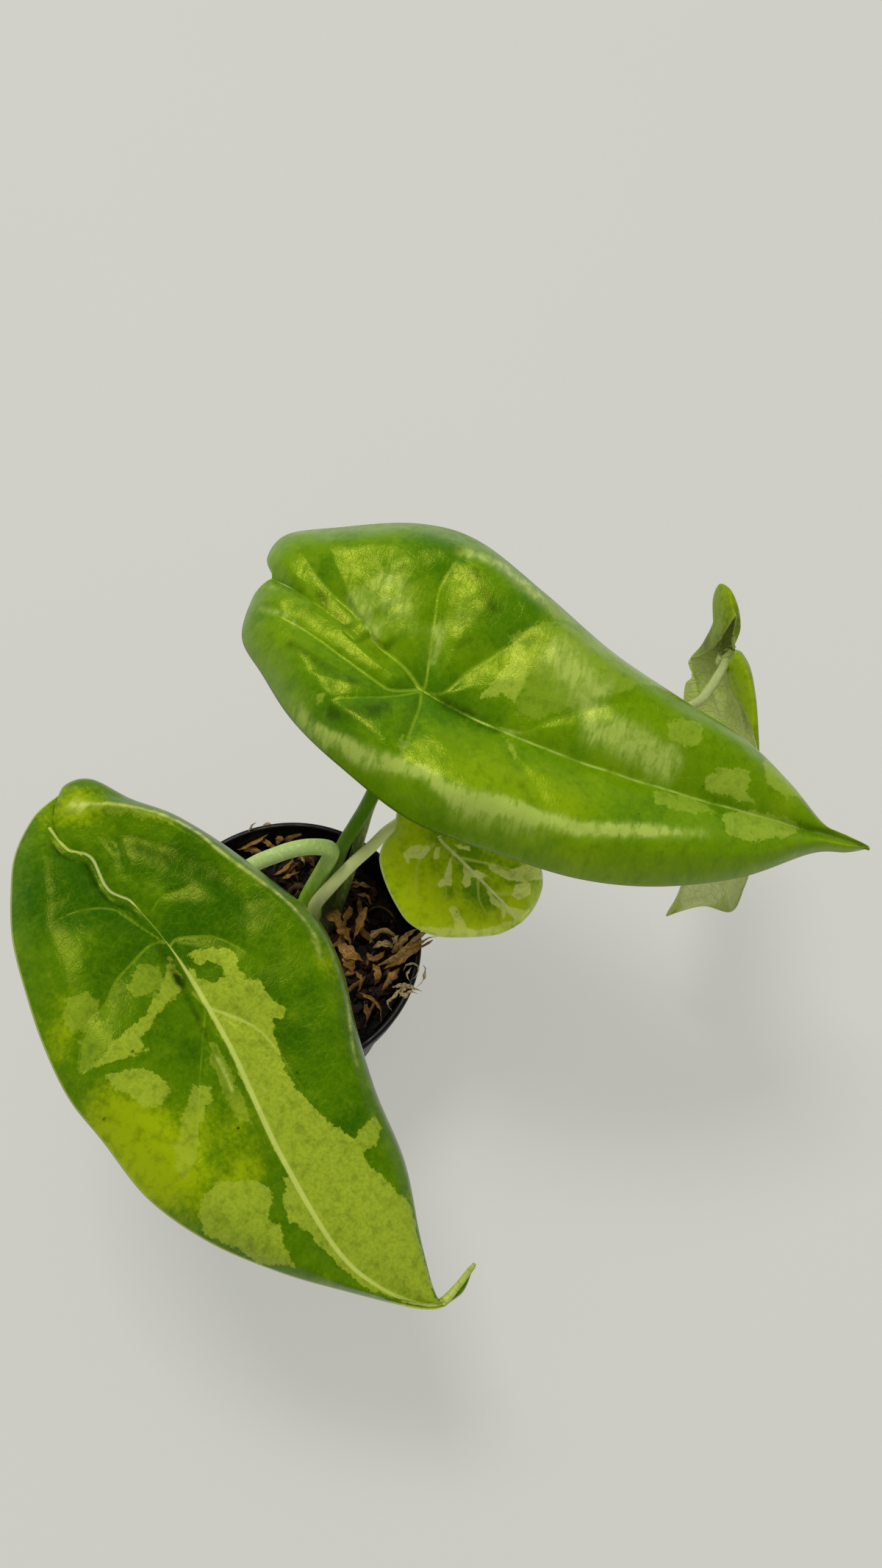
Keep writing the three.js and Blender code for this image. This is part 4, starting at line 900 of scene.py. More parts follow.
def leafUpperMaterial(leaf):
    look, feel = leaf["colours"], leaf["feel"]
    skin = Shader(leaf["name"] + "Upper", 0.3)
    flat = flatPlace(skin)

    # green body, from deep to yellow; the tone attribute brings the leaf's own patchy green together with
    # painted shade and painted highlight
    cloud = skin.noise(0.05, 4, flat)
    fine = skin.noise(0.7, 5, flat)
    level = skin.math("MULTIPLY_ADD", skin.math("SUBTRACT", cloud, 0.5), 2.0, skin.attribute("tone"))
    level = skin.math("MULTIPLY_ADD", skin.math("SUBTRACT", fine, 0.5), 0.9, level)
    colour = skin.mix(skin.ramp(level, -0.75, 0.15), rgb(*look["deep"]), rgb(*look["bright"]))
    colour = skin.mix(skin.ramp(level, 0.1, 0.95), colour, rgb(*look["yellow"]))

    # pale sectors, with edges that are ragged at several sizes
    force = skin.attribute("patchForce")
    ragged = skin.math("MULTIPLY_ADD", force, -2.4, 4.7)
    coarse = skin.math("SUBTRACT", skin.noise(0.13, 3, flat), 0.5)
    jag = skin.math("SUBTRACT", skin.noise(0.5, 5, flat, roughness=0.75), 0.5)
    jag = skin.math("MULTIPLY_ADD", coarse, 1.1, skin.math("MULTIPLY", jag, 1.9))
    jag = skin.math("MULTIPLY", jag, feel["ragged"])
    shifted = skin.math("MULTIPLY_ADD", jag, ragged, skin.attribute("patchGap"))
    pale = skin.math("MULTIPLY", skin.ramp(shifted, -0.1, 0.22), force)
    mottle = skin.ramp(skin.noise(0.9, 4, flat, roughness=0.65), 0.36, 0.6, feel["mottle"], 1.0)
    colour = skin.mix(skin.math("MULTIPLY", pale, mottle), colour, rgb(*look["cream"]))

    # a fine net of small veins, and cloudy darker spots between them
    net = skin.add("ShaderNodeTexVoronoi", feature="DISTANCE_TO_EDGE")
    wobble = skin.add("ShaderNodeVectorMath", operation="MULTIPLY_ADD")
    skin.feed(wobble.inputs[0], skin.noiseColour(0.8, flat))
    wobble.inputs[1].default_value = (1.6, 1.6, 0)
    skin.feed(wobble.inputs[2], flat)
    skin.feed(net.inputs["Vector"], skin.scaled(wobble.outputs["Vector"], bladeSkin["netSize"]))
    net.inputs["Scale"].default_value = 1.0
    netLine = skin.ramp(net.outputs["Distance"], 0.0, 0.1, 1.0, 0.0)
    colour = skin.mix(skin.math("MULTIPLY", netLine, bladeSkin["netShare"]), colour, rgb(*look["vein"]))
    spots = skin.ramp(skin.noise(0.3, 5, flat, roughness=0.6), 0.46, 0.7, 0.0, bladeSkin["spotShare"])
    colour = skin.mix(spots, colour, shaded(look["deep"], 0.8))
    light = skin.ramp(skin.noise(0.2, 4, flat, roughness=0.6), 0.5, 0.75, 0.0, bladeSkin["lightShare"])
    colour = skin.mix(light, colour, rgb(*look["vein"]))

    # side veins, the midrib and the margin
    veinForce = skin.attribute("veinForce")
    veinGap = skin.math("DIVIDE", skin.attribute("veinGap"), skin.math("ADD", veinForce, 0.15))
    vein = skin.math("MULTIPLY", skin.ramp(veinGap, 0.15, 0.75, 1.0, 0.0), veinForce)
    vein = skin.math("MULTIPLY", vein, 0.7)
    colour = skin.mix(vein, colour, skin.mix(pale, rgb(*look["vein"]), rgb(*look["midrib"])))
    ribWidth = skin.math("ADD", skin.attribute("ribForce"), 0.1)
    ribGap = skin.math("DIVIDE", skin.attribute("ribGap"), ribWidth)
    ribShare = skin.ramp(skin.noise(0.16, 3, flat), 0.38, 0.6, *feel["rib"])
    rib = skin.math("MULTIPLY", skin.ramp(ribGap, 0.55, 1.2, 1.0, 0.0), ribShare)
    colour = skin.mix(rib, colour, rgb(*look["midrib"]))
    edge = skin.math("MULTIPLY", skin.ramp(skin.attribute("edgeGap"), 0.2, 0.7, 1.0, 0.0), 0.7)
    colour = skin.mix(edge, colour, rgb(*look["edge"]))
    speck = skin.math("MULTIPLY_ADD", skin.noise(2.0, 2, flat), 0.8, skin.attribute("speckGap"))
    colour = skin.mix(skin.ramp(speck, 0.8, 1.3, 0.85, 0.0), colour, rgb(*bladeSkin["speckColour"]))
    colour = sheenShadeAndVeinStrokes(skin, colour, leaf)

    # small ridges that cross the half blades in places, and a fine grain
    ridges = skin.noise(1.0, 3, skin.scaled(flat, (0.42, 0.075, 1)), distortion=0.4)
    places = skin.ramp(skin.noise(0.06, 2, flat), 0.42, 0.62)
    grain = skin.noise(2.6, 3, flat)
    bump = skin.math("MULTIPLY", skin.math("MULTIPLY", ridges, places), feel["ridges"])
    bump = skin.math("MULTIPLY_ADD", grain, 0.12, bump)
    bump = skin.math("MULTIPLY_ADD", netLine, -0.05, bump)
    gloss = skin.ramp(skin.noise(0.12, 3, flat), 0.3, 0.7, feel["gloss"], feel["gloss"] + 0.1)
    skin.surface.inputs["Specular Tint"].default_value = rgb(1.0, 1.0, 0.1)
    skin.surface.inputs["IOR"].default_value = feel["ior"]
    return skin.finish(colour, bump, bladeSkin["upperBump"] * mm, gloss)


def sheenShadeAndVeinStrokes(skin, colour, leaf):
    # painted sheens (painted highlights) crossed by small ridges, and painted shade in the valleys; on the
    # folded leaf the pale strokes are veins
    look, ridged = leaf["colours"], leaf["feel"]["ridges"]
    flat = flatPlace(skin)
    torn = skin.ramp(skin.noise(0.22, 4, flat, roughness=0.6), 0.32, 0.62, 0.6, 1.25)
    sheenShadeAndVein = skin.math("MULTIPLY", skin.attribute("sheenShadeAndVein"), torn)
    ridges = skin.noise(1.0, 3, skin.scaled(flat, (0.55, 0.14, 1)), distortion=0.6)
    share = skin.ramp(ridges, 0.35, 0.62, 1 - 0.8 * ridged, 1 + 0.4 * ridged)
    sheen = skin.math("MULTIPLY", sheenShadeAndVein, share)
    colour = skin.mix(skin.ramp(sheen, 0.0, 1.0), colour, rgb(*look["midrib"]))
    valley = skin.ramp(sheenShadeAndVein, -1.0, -0.05, 1.0, 0.0)
    return skin.mix(valley, colour, shaded(look["deep"], 0.35))


def leafUnderMaterial(leaf):
    look = leaf["colours"]
    skin = Shader(leaf["name"] + "Under", 0.5, 0.4)
    flat = flatPlace(skin)
    # the tone attribute brings a little painted shade and painted highlight here too, with the leaf's own
    # patchy green
    cloud = skin.math("MULTIPLY_ADD", skin.attribute("tone"), 0.12, skin.noise(0.06, 4, flat))
    colour = skin.mix(skin.ramp(cloud, 0.35, 0.7), shaded(look["under"], 0.8), shaded(look["under"], 1.12))
    jag = skin.math("SUBTRACT", skin.noise(0.42, 5, flat, roughness=0.7), 0.5)
    shifted = skin.math("MULTIPLY_ADD", jag, 4.5, skin.attribute("patchGap"))
    pale = skin.math("MULTIPLY", skin.ramp(shifted, -0.6, 0.8), skin.attribute("patchForce"))
    colour = skin.mix(skin.math("MULTIPLY", pale, 0.7), colour, rgb(*look["cream"]))
    veinGap = skin.math("DIVIDE", skin.attribute("veinGap"), skin.attribute("veinForce"))
    vein = skin.math("MULTIPLY", skin.ramp(veinGap, 0.2, 1.3, 1.0, 0.0), 0.5)
    colour = skin.mix(vein, colour, rgb(*look["midrib"]))
    rib = skin.ramp(skin.attribute("ribGap"), 0.7, 2.0, 0.75, 0.0)
    colour = skin.mix(rib, colour, rgb(*look["midrib"]))
    net = skin.add("ShaderNodeTexVoronoi", feature="DISTANCE_TO_EDGE")
    skin.feed(net.inputs["Vector"], skin.scaled(flat, (0.42, 0.3, 1)))
    net.inputs["Scale"].default_value = 1.0
    netLine = skin.ramp(net.outputs["Distance"], 0.0, 0.09, 1.0, 0.0)
    colour = skin.mix(skin.math("MULTIPLY", netLine, 0.16), colour, rgb(*look["vein"]))
    colour = sheenShadeAndVeinStrokes(skin, colour, leaf)
    bump = skin.math("MULTIPLY_ADD", skin.noise(1.6, 3, flat), 0.35, netLine)
    skin.surface.inputs["Specular Tint"].default_value = rgb(1.0, 1.0, 0.1)
    return skin.finish(colour, bump, bladeSkin["underBump"] * mm)


# Petioles: routes in mm, from inside the stem base to the blade's underside.
stalks = {"rings": 130, "sides": 24, "flat": 0.96, "short": 1.3, "ior": 1.25, "bump": 0.12}
petioles = {
    "front": {
        "radius": (2.9, 2.4), "low": (0.3, 0.58, 0.02), "high": (0.46, 0.6, 0.22),
        "route": [(3.5, 18, 54), (7, 19.5, 66), (11.5, 20, 80), (15, 20, 92), (16, 20, 98),
                  (14, 20.5, 99.5), (9, 20, 101), (4.5, 19, 101.5), (-0.5, 17, 102), (-9.5, 12, 103),
                  (-21.5, -2, 109), (-28.5, -15.5, 118), (-31, -22.5, 124)],
    },
    "back": {
        "radius": (2.6, 2.2), "low": (0.26, 0.36, 0.1), "high": (0.075, 0.2, 0.001),
        "route": [(10.5, 19, 52), (14, 22.5, 70), (19, 25, 90), (24, 26.5, 104), (29.5, 28, 120),
                  (38, 36, 142), (45.5, 42.5, 161)],
    },
    "young": {
        "radius": (2.5, 1.8), "low": (0.55, 0.66, 0.2), "high": (0.92, 0.98, 0.44),
        "route": [(8, 12.8, 53), (8.3, 13, 62), (9.5, 13.5, 70), (15.5, 15, 82), (22.5, 19.5, 89),
                  (28.5, 24, 92), (34.5, 28.5, 96), (42, 31.5, 99), (48, 27.5, 102), (52, 18.5, 107)],
    },
    "folded": {
        # the stalk is darker low down: painted shade where it runs among the other stalks
        "radius": (1.9, 1.5), "low": (0.1, 0.15, 0.03), "high": (0.4, 0.47, 0.17),
        "route": [(14.5, 15, 54), (18, 18, 68), (21, 21, 79), (24, 26.5, 88), (25.5, 28.5, 94),
                  (30.5, 35, 109), (42.5, 42, 126), (65, 43, 138), (92, 43, 141), (115, 46, 138),
                  (131, 54, 134), (136.5, 61, 131), (141.5, 70.5, 125), (146.5, 82, 114)],
    },
}


def petioleMaterial(name, look):
    stalk = Shader(name, 0.38)
    along = stalk.attribute("along")
    streaks = stalk.noise(1.0, 3, stalk.scaled(stalk.objectPlace, (900, 900, 60)))
    cloud = stalk.noise(60, 3)
    level = stalk.math("ADD", along, stalk.math("MULTIPLY", stalk.math("SUBTRACT", cloud, 0.5), 0.4))
    colour = stalk.mix(stalk.ramp(level, 0.05, 0.55), rgb(*look["low"]), rgb(*look["high"]))
    colour = stalk.mix(stalk.ramp(streaks, 0.45, 0.75, 0.0, 0.35), colour,
                       rgb(*[min(1, c * 1.6 + 0.01) for c in look["high"]]))
    speck = stalk.noise(420, 2)
    colour = stalk.mix(stalk.ramp(speck, 0.74, 0.8, 0.0, 0.5), colour, rgb(0.03, 0.04, 0.01))
    stalk.surface.inputs["Specular Tint"].default_value = rgb(1.0, 1.0, 0.3)
    stalk.surface.inputs["IOR"].default_value = stalks["ior"]
    return stalk.finish(colour, streaks, stalks["bump"] * mm)


def makePetiole(name, look):
    route = [Vector(p) * mm for p in look["route"]]
    end = route[-1] - (route[-1] - route[-2]).normalized() * stalks["short"] * mm
    base, top = look["radius"]

    def sizeAt(share):
        radius = base + (top - base) * share
        flare = 1 + 0.16 * math.exp(-share / 0.04) + 0.2 * math.exp(-(1 - share) / 0.02)
        return radius * flare * mm, radius * flare * stalks["flat"] * mm

    bm = sweepTube(route[:-1] + [end], stalks["rings"], stalks["sides"], sizeAt)
    title = "petiole" + name.capitalize()
    piece = addPiece(title, bm, [petioleMaterial(title, look)])
    dress(piece, "petiole", "petiole_" + name)


# Pot: a profile of radius and height in mm, spun once round.
pot = {
    "height": 68, "rim": 45, "rimHeight": 2.4, "rimWidth": 1.8, "lip": 0.85,
    "collar": 43.6, "collarHeight": 11, "shoulder": 41.6, "foot": 30, "wall": 1.2, "floor": 1.6,
    "holes": 6, "holeRadius": 3.5, "holeCircle": 21, "steps": 128, "bump": 0.03,
    "dark": (0.0022, 0.0022, 0.0026), "worn": (0.006, 0.0062, 0.0068), "dust": (0.12, 0.1, 0.08),
}


def arc(centre, radius, start, end, steps):
    turns = [math.radians(start + (end - start) * i / steps) for i in range(steps + 1)]
    return [(centre[0] + radius * math.cos(t), centre[1] + radius * math.sin(t)) for t in turns]


def potProfile():
    collarFoot = pot["height"] - pot["collarHeight"]
    lipFoot = pot["height"] - pot["rimHeight"]
    inner = pot["rim"] - pot["rimWidth"]
    lip = pot["lip"]
    profile = [(0.6, 0), (pot["foot"] - 6, 0), (pot["foot"] - 1.6, 0)]
    profile += arc((pot["foot"] - 1.2, 1.2), 1.2, -90, -12, 5)
    profile += [(pot["foot"] + 0.25, 3.0), (pot["shoulder"] - 0.15, collarFoot - 2.2)]
    profile += arc((pot["shoulder"] + 0.7, collarFoot - 1.9), 0.8, 180, 95, 4)
    profile += [(pot["collar"] - 0.9, collarFoot - 0.6), (pot["collar"] - 0.55, collarFoot + 0.4)]
    profile += [(pot["collar"] - 0.25, collarFoot + 4), (pot["collar"], lipFoot - 0.9)]
    profile += arc((pot["rim"] - lip, lipFoot + lip), lip, -80, 0, 5)
    profile += arc((pot["rim"] - lip, pot["height"] - lip), lip, 0, 90, 6)
    profile += arc((inner + lip * 0.6, pot["height"] - lip * 0.6), lip * 0.6, 90, 180, 4)
    profile += [(pot["collar"] - pot["wall"] - 0.3, lipFoot - 1.2),
                (pot["collar"] - pot["wall"] - 0.7, collarFoot + 1)]
    profile += [(pot["shoulder"] - pot["wall"], collarFoot - 1.2),
                (pot["foot"] - pot["wall"], pot["floor"] + 1.5)]
    profile += arc((pot["foot"] - pot["wall"] - 1.5, pot["floor"] + 1.5), 1.5, 0, -90, 4)
    profile += [(0.6, pot["floor"])]
    return profile


def spinProfile(profile, steps):
    bm = bmesh.new()
    verts = [bm.verts.new((radius * mm, 0, z * mm)) for radius, z in profile]
    edges = [bm.edges.new(pair) for pair in zip(verts, verts[1:])]
    bmesh.ops.spin(bm, geom=verts + edges, cent=(0, 0, 0), axis=(0, 0, 1), angle=2 * math.pi, steps=steps,
                   use_merge=True, use_duplicate=False)
    return bm


def makePot(material):
    bm = spinProfile(potProfile(), pot["steps"])
    bmesh.ops.remove_doubles(bm, verts=bm.verts, dist=0.001 * mm)
    bmesh.ops.holes_fill(bm, edges=bm.edges, sides=0)
    bmesh.ops.recalc_face_normals(bm, faces=bm.faces)
    piece = addPiece("nurseryPot", bm, [material])
    drill = bmesh.new()
    for i in range(pot["holes"]):
        turn = 2 * math.pi * i / pot["holes"]
        place = Vector((math.cos(turn), math.sin(turn), 0)) * pot["holeCircle"] * mm
        bmesh.ops.create_cone(drill, cap_ends=True, segments=32, radius1=pot["holeRadius"] * mm,
                              radius2=pot["holeRadius"] * mm, depth=10 * mm,
                              matrix=Matrix.Translation(place))
    cutter = addPiece("drill", drill, [], smooth=False)
    cut = piece.modifiers.new("holes", "BOOLEAN")
    cut.object = cutter
    cut.operation = "DIFFERENCE"
    cut.solver = "EXACT"
    graph = bpy.context.evaluated_depsgraph_get()
    finished = bpy.data.meshes.new_from_object(piece.evaluated_get(graph))
    piece.modifiers.clear()
    piece.data = finished
    bpy.data.objects.remove(cutter)
    dress(piece, "pot", "pot")


def potMaterial():
    plastic = Shader("blackPlastic", 0.4, 0.16)
    wear = plastic.noise(90, 5)
    streaks = plastic.noise(1.0, 4, plastic.scaled(plastic.objectPlace, (220, 220, 12)))
    colour = plastic.mix(plastic.ramp(wear, 0.45, 0.75), rgb(*pot["dark"]), rgb(*pot["worn"]))
    dust = plastic.ramp(plastic.noise(700, 3), 0.6, 0.72, 0.0, 0.12)
    colour = plastic.mix(dust, colour, rgb(*pot["dust"]))
    gloss = plastic.math("ADD", streaks, plastic.math("MULTIPLY", wear, 0.5))
    gloss = plastic.ramp(gloss, 0.5, 1.0, 0.28, 0.5)
    return plastic.finish(colour, plastic.noise(1400, 3), pot["bump"] * mm, gloss)


# Potting mix: a lumpy bed with bark chips and grains.
mix = {
    "level": 57, "mound": 3, "radius": 39.5, "crown": (9.5, 16.5), "clear": 9, "seed": 5,
    "chips": 420, "chipSize": ((1.6, 5.2), (1.0, 2.6), (0.5, 1.3)),
    "grains": 700, "grainSize": ((0.5, 1.2), (0.4, 0.9), (0.3, 0.7)),
    # the bed's near-black colour is partly dark soil, partly painted shade between the chips
    "darkSoilAndShade": (0.0025, 0.0015, 0.001), "peat": (0.018, 0.0075, 0.004), "bark": (0.06, 0.017, 0.007),
    "fresh": (0.15, 0.062, 0.024), "pores": (0.002, 0.0012, 0.001), "bump": 0.35,
}


def mixHeight(x, y):
    fromCrown = (x - mix["crown"][0]) ** 2 + (y - mix["crown"][1]) ** 2
    lumps = math.sin(x * 0.45 + 1) * math.cos(y * 0.38) + 0.6 * math.sin(x * 0.21 - y * 0.33)
    return mix["level"] + mix["mound"] * math.exp(-fromCrown / 300) + 0.7 * lumps


def makeMix(material):
    draw = random.Random(mix["seed"])
    bm = bmesh.new()
    tone = bm.verts.layers.float.new("chipTone")
    bmesh.ops.create_grid(bm, x_segments=90, y_segments=90, size=1.0)
    for vert in bm.verts:
        # the square grid is bent to a disc
        x, y = vert.co.x, vert.co.y
        vert.co = (x * math.sqrt(1 - y * y / 2), y * math.sqrt(1 - x * x / 2), 0)
        x, y = vert.co.x * mix["radius"], vert.co.y * mix["radius"]
        crumb = noise.noise(Vector((x, y, 0)) * 0.45) * 1.5 + noise.noise(Vector((x, y, 5)) * 1.3) * 0.8
        vert.co = Vector((x, y, mixHeight(x, y) + crumb - 1.2)) * mm
        vert[tone] = 0.05
    rim = [edge for edge in bm.edges if edge.is_boundary]
    skirt = bmesh.ops.extrude_edge_only(bm, edges=rim)["geom"]
    lower = [g for g in skirt if isinstance(g, bmesh.types.BMVert)]
    share = (pot["foot"] - pot["wall"] - 1) / mix["radius"]
    for vert in lower:
        vert.co = Vector((vert.co.x * share, vert.co.y * share, (pot["floor"] + 0.3) * mm))
    lowest = [g for g in skirt if isinstance(g, bmesh.types.BMEdge) and g.is_boundary]
    bmesh.ops.contextual_create(bm, geom=lowest)
    bmesh.ops.recalc_face_normals(bm, faces=bm.faces)
    parts = [bm]
    for i in range(mix["chips"] + mix["grains"]):
        isChip = i < mix["chips"]
        radius = (mix["radius"] - 2.5) * math.sqrt(draw.random())
        turn = draw.uniform(0, 2 * math.pi)
        x, y = radius * math.cos(turn), radius * math.sin(turn)
        limits = mix["chipSize"] if isChip else mix["grainSize"]
        size = Vector([draw.uniform(least, most) for least, most in limits])
        if math.hypot(x - mix["crown"][0], y - mix["crown"][1]) < mix["clear"]:
            continue
        chip = bmesh.new()
        layer = chip.verts.layers.float.new("chipTone")
        bmesh.ops.create_icosphere(chip, subdivisions=1, radius=1.0)
        shade = draw.random() ** (1.6 if isChip else 1.0)
        for vert in chip.verts:
            vert.co *= draw.uniform(0.72, 1.12)
            vert[layer] = 0.1 + 0.9 * shade
        lie = Matrix.Rotation(draw.uniform(0, 6.28), 4, "Z")
        for axis, tilt in (("X", 0.45), ("Y", 0.35)):
            lie = lie @ Matrix.Rotation(draw.gauss(0, tilt), 4, axis)
        place = Vector((x, y, mixHeight(x, y) + draw.uniform(-1.1, 0.9 if isChip else 0.2))) * mm
        chip.transform(Matrix.Translation(place) @ lie @ Matrix.Diagonal((*(size * mm), 1)))
        parts.append(chip)
    piece = addPiece("pottingMix", gather(parts), [material], smooth=False)
    dress(piece, "potting_mix", "potting_mix")


def mixMaterial():
    bark = Shader("barkMix", 0.85, 0.3)
    tone = bark.attribute("chipTone")
    grain = bark.noise(900, 4)
    fibres = bark.noise(1.0, 3, bark.scaled(bark.objectPlace, (1400, 350, 900)))
    # the bed starts near black: dark soil with painted shade between the chips
    colour = bark.mix(bark.ramp(tone, 0.05, 0.35), rgb(*mix["darkSoilAndShade"]), rgb(*mix["peat"]))
    colour = bark.mix(bark.ramp(tone, 0.45, 0.8), colour, rgb(*mix["bark"]))
    colour = bark.mix(bark.ramp(tone, 0.85, 1.0), colour, rgb(*mix["fresh"]))
    colour = bark.mix(bark.ramp(grain, 0.35, 0.7, 0.5, 0.0), colour, rgb(*mix["pores"]))
    return bark.finish(colour, bark.math("ADD", grain, fibres), mix["bump"] * mm)


# Husk strands: the ones that the photograph shows, as pixel places with a height in mm.
husk = {
    "seed": 23, "thin": 0.32, "bump": 0.35, "inside": 1.5,
    "loose": 64, "looseLength": (5, 15), "looseWidth": (0.9, 2.8), "looseTone": (0.0, 0.36),
    "dark": (0.03, 0.01, 0.002), "golden": (0.58, 0.29, 0.055), "straw": (0.86, 0.7, 0.36),
    "lines": (0.03, 0.012, 0.003), "hollowShade": (0.05, 0.02, 0.006),
    # width mm, tone, then the route; tone 0 is dark brown and 1 is pale straw
    "seen": [
        (1.2, 1.0, [(336, 1137, 64), (340, 1127, 69), (348, 1119, 72)]),
        (2.2, 0.8, [(308, 1144, 64), (316, 1141, 65), (325, 1140, 64)]),
        (3.0, 0.5, [(312, 1158, 60), (330, 1152, 62.5), (348, 1145, 64), (363, 1134, 65), (374, 1128, 64)]),
        (2.6, 0.55, [(375, 1130, 63), (380, 1140, 63), (376, 1152, 61)]),
        (2.4, 0.75, [(356, 1126, 66), (363, 1124, 66), (368, 1133, 65)]),
        (3.2, 0.35, [(384, 1143, 61), (399, 1137, 63), (415, 1131, 65)]),
        (2.8, 0.35, [(325, 1150, 61), (345, 1157, 62), (362, 1163, 60)]),
        (2.4, 0.45, [(352, 1138, 62), (366, 1148, 63.5), (380, 1158, 61)]),
        (2.2, 0.45, [(372, 1190, 60), (386, 1184, 62), (397, 1173, 63), (407, 1179, 61)]),
        (2.0, 0.4, [(383, 1196, 60), (396, 1190, 62), (408, 1186, 60)]),
        (0.9, 0.85, [(410, 1165, 62), (413, 1171, 63), (415, 1177, 61)]),
        (4.0, 0.5, [(443, 1246, 62), (452, 1244, 66), (461, 1256, 66), (466, 1274, 62)]),
        (3.8, 0.5, [(476, 1232, 71), (473, 1244, 67), (468, 1258, 64), (468, 1276, 61)]),
        (3.8, 0.55, [(499, 1234, 71), (492, 1248, 67), (486, 1264, 64), (480, 1282, 61)]),
        (5.0, 0.4, [(461, 1258, 63), (470, 1270, 64), (478, 1286, 62)]),
        (4.6, 0.5, [(460, 1284, 63), (470, 1292, 65), (482, 1300, 65), (495, 1307, 64)]),
        (4.2, 0.35, [(466, 1296, 62), (474, 1308, 63), (482, 1324, 60)]),
        (2.6, 0.7, [(503, 1282, 61), (510, 1270, 64), (522, 1266, 65), (533, 1270, 64), (540, 1279, 62)]),
        (3.4, 0.75, [(508, 1289, 62), (518, 1284, 64), (529, 1285, 64), (538, 1291, 62)]),
        (1.8, 0.95, [(534, 1284, 64), (538, 1278, 66), (543, 1272, 68)]),
        (4.4, 0.6, [(534, 1296, 61), (545, 1282, 65), (556, 1270, 68), (568, 1264, 69.5)]),
        (3.0, 0.62, [(513, 1314, 60), (535, 1305, 64), (556, 1292, 68), (578, 1279, 71), (597, 1273, 71)]),
        (2.6, 0.55, [(522, 1318, 60), (544, 1306, 65), (562, 1294, 69), (580, 1284, 71), (590, 1279, 70)]),
        (2.4, 0.7, [(548, 1290, 66), (562, 1280, 69), (576, 1270, 71), (586, 1268, 71)]),
        (2.8, 0.55, [(507, 1312, 60), (514, 1324, 62), (510, 1342, 58)]),
        (3.2, 0.5, [(543, 1317, 62), (532, 1330, 63), (520, 1348, 59)]),
        (2.6, 0.4, [(500, 1296, 60), (506, 1304, 62), (518, 1300, 62), (524, 1292, 61)]),
        (0.7, 1.0, [(549, 1320, 66), (556, 1311, 69), (568, 1314, 70), (567, 1326, 70), (559, 1333, 68)]),
        (0.8, 1.0, [(575, 1312, 71), (579, 1322, 71), (575, 1334, 70), (566, 1342, 69.5)]),
        (0.7, 0.95, [(560, 1316, 70), (554, 1326, 69), (560, 1338, 69)]),
        (1.8, 0.85, [(534, 1343, 64), (547, 1340, 68), (562, 1344, 70), (576, 1350, 69.5)]),
        (1.4, 0.85, [(547, 1342, 68), (536, 1357, 66), (527, 1364, 66), (534, 1376, 68)]),
        (1.5, 0.8, [(540, 1346, 66), (552, 1354, 68), (558, 1348, 69), (568, 1352, 69.5)]),
        (1.2, 0.9, [(556, 1338, 69.5), (549, 1347, 68), (544, 1356, 67)]),
        (1.6, 0.3, [(489, 1351, 58), (504, 1358, 60), (517, 1371, 59), (518, 1391, 58)]),
        (1.8, 0.3, [(484, 1320, 59), (492, 1334, 61), (486, 1350, 58)]),
        (1.6, 0.25, [(495, 1362, 58), (500, 1380, 59), (496, 1398, 57)]),
        (2.0, 0.35, [(478, 1206, 60), (494, 1203, 62), (508, 1210, 60)]),
        (1.8, 0.4, [(486, 1216, 61), (500, 1220, 62.5), (506, 1232, 60)]),
    ],
}


def huskStrand(route, width, tone, draw, rings=16, sides=10):
    # a curled ribbon with pointed, crumpled ends
    roll = draw.uniform(-0.5, 0.5)
    twist = draw.uniform(-1.4, 1.4)
    curl = draw.uniform(0.2, 0.55) * draw.choice((1, -1))
    phase = draw.uniform(0, 6.28)

    def sizeAt(share):
        taper = min(1, 0.16 + 2.6 * share) * min(1, 0.05 + 1.8 * (1 - share))
        ripple = 1 + 0.2 * math.sin(9 * share + phase) + 0.12 * math.sin(23 * share + phase)
        half = 0.5 * width * taper * ripple * mm
        return half, half

    bm = sweepTube(route, rings, sides, sizeAt, roll, twist, husk["thin"], curl)
    layer = bm.verts.layers.float.new("huskTone")
    for vert in bm.verts:
        crumple, fray = noise.noise_vector(vert.co * 600), noise.noise_vector(vert.co * 1500)
        vert.co += crumple * 0.42 * mm + fray * 0.1 * mm
        vert[layer] = tone
    return bm


def makeHusk(material):
    draw = random.Random(husk["seed"])
    parts = []
    for width, tone, places in husk["seen"]:
        parts.append(huskStrand([fromPhoto(*place) for place in places], width, tone, draw, 26, 12))
    for i in range(husk["loose"]):
        turn = 2 * math.pi * i / husk["loose"] + draw.uniform(0, 0.4)
        radius = mix["radius"] * (0.35 + 0.55 * math.sqrt(draw.random()))
        heading = turn + draw.uniform(0.6, 2.5)
        length = draw.uniform(*husk["looseLength"])
        route = []
        for share in (0, 0.35, 0.7, 1):
            heading += draw.uniform(-0.5, 0.5)
            x = radius * math.cos(turn) + length * (share - 0.5) * math.cos(heading)
            y = radius * math.sin(turn) + length * (share - 0.5) * math.sin(heading)
            reach, most = math.hypot(x, y), mix["radius"] - husk["inside"]
            if reach > most:
                x, y = x * most / reach, y * most / reach
            lift = draw.uniform(0.2, 1.4) + (1.8 if 0 < share < 1 else 0)
            route.append(Vector((x, y, mixHeight(x, y) + lift)) * mm)
        width, tone = draw.uniform(*husk["looseWidth"]), draw.uniform(*husk["looseTone"])
        parts.append(huskStrand(route, width, tone, draw, 8, 6))
    piece = addPiece("huskStrands", gather(parts), [material])
    dress(piece, "moss", "moss")


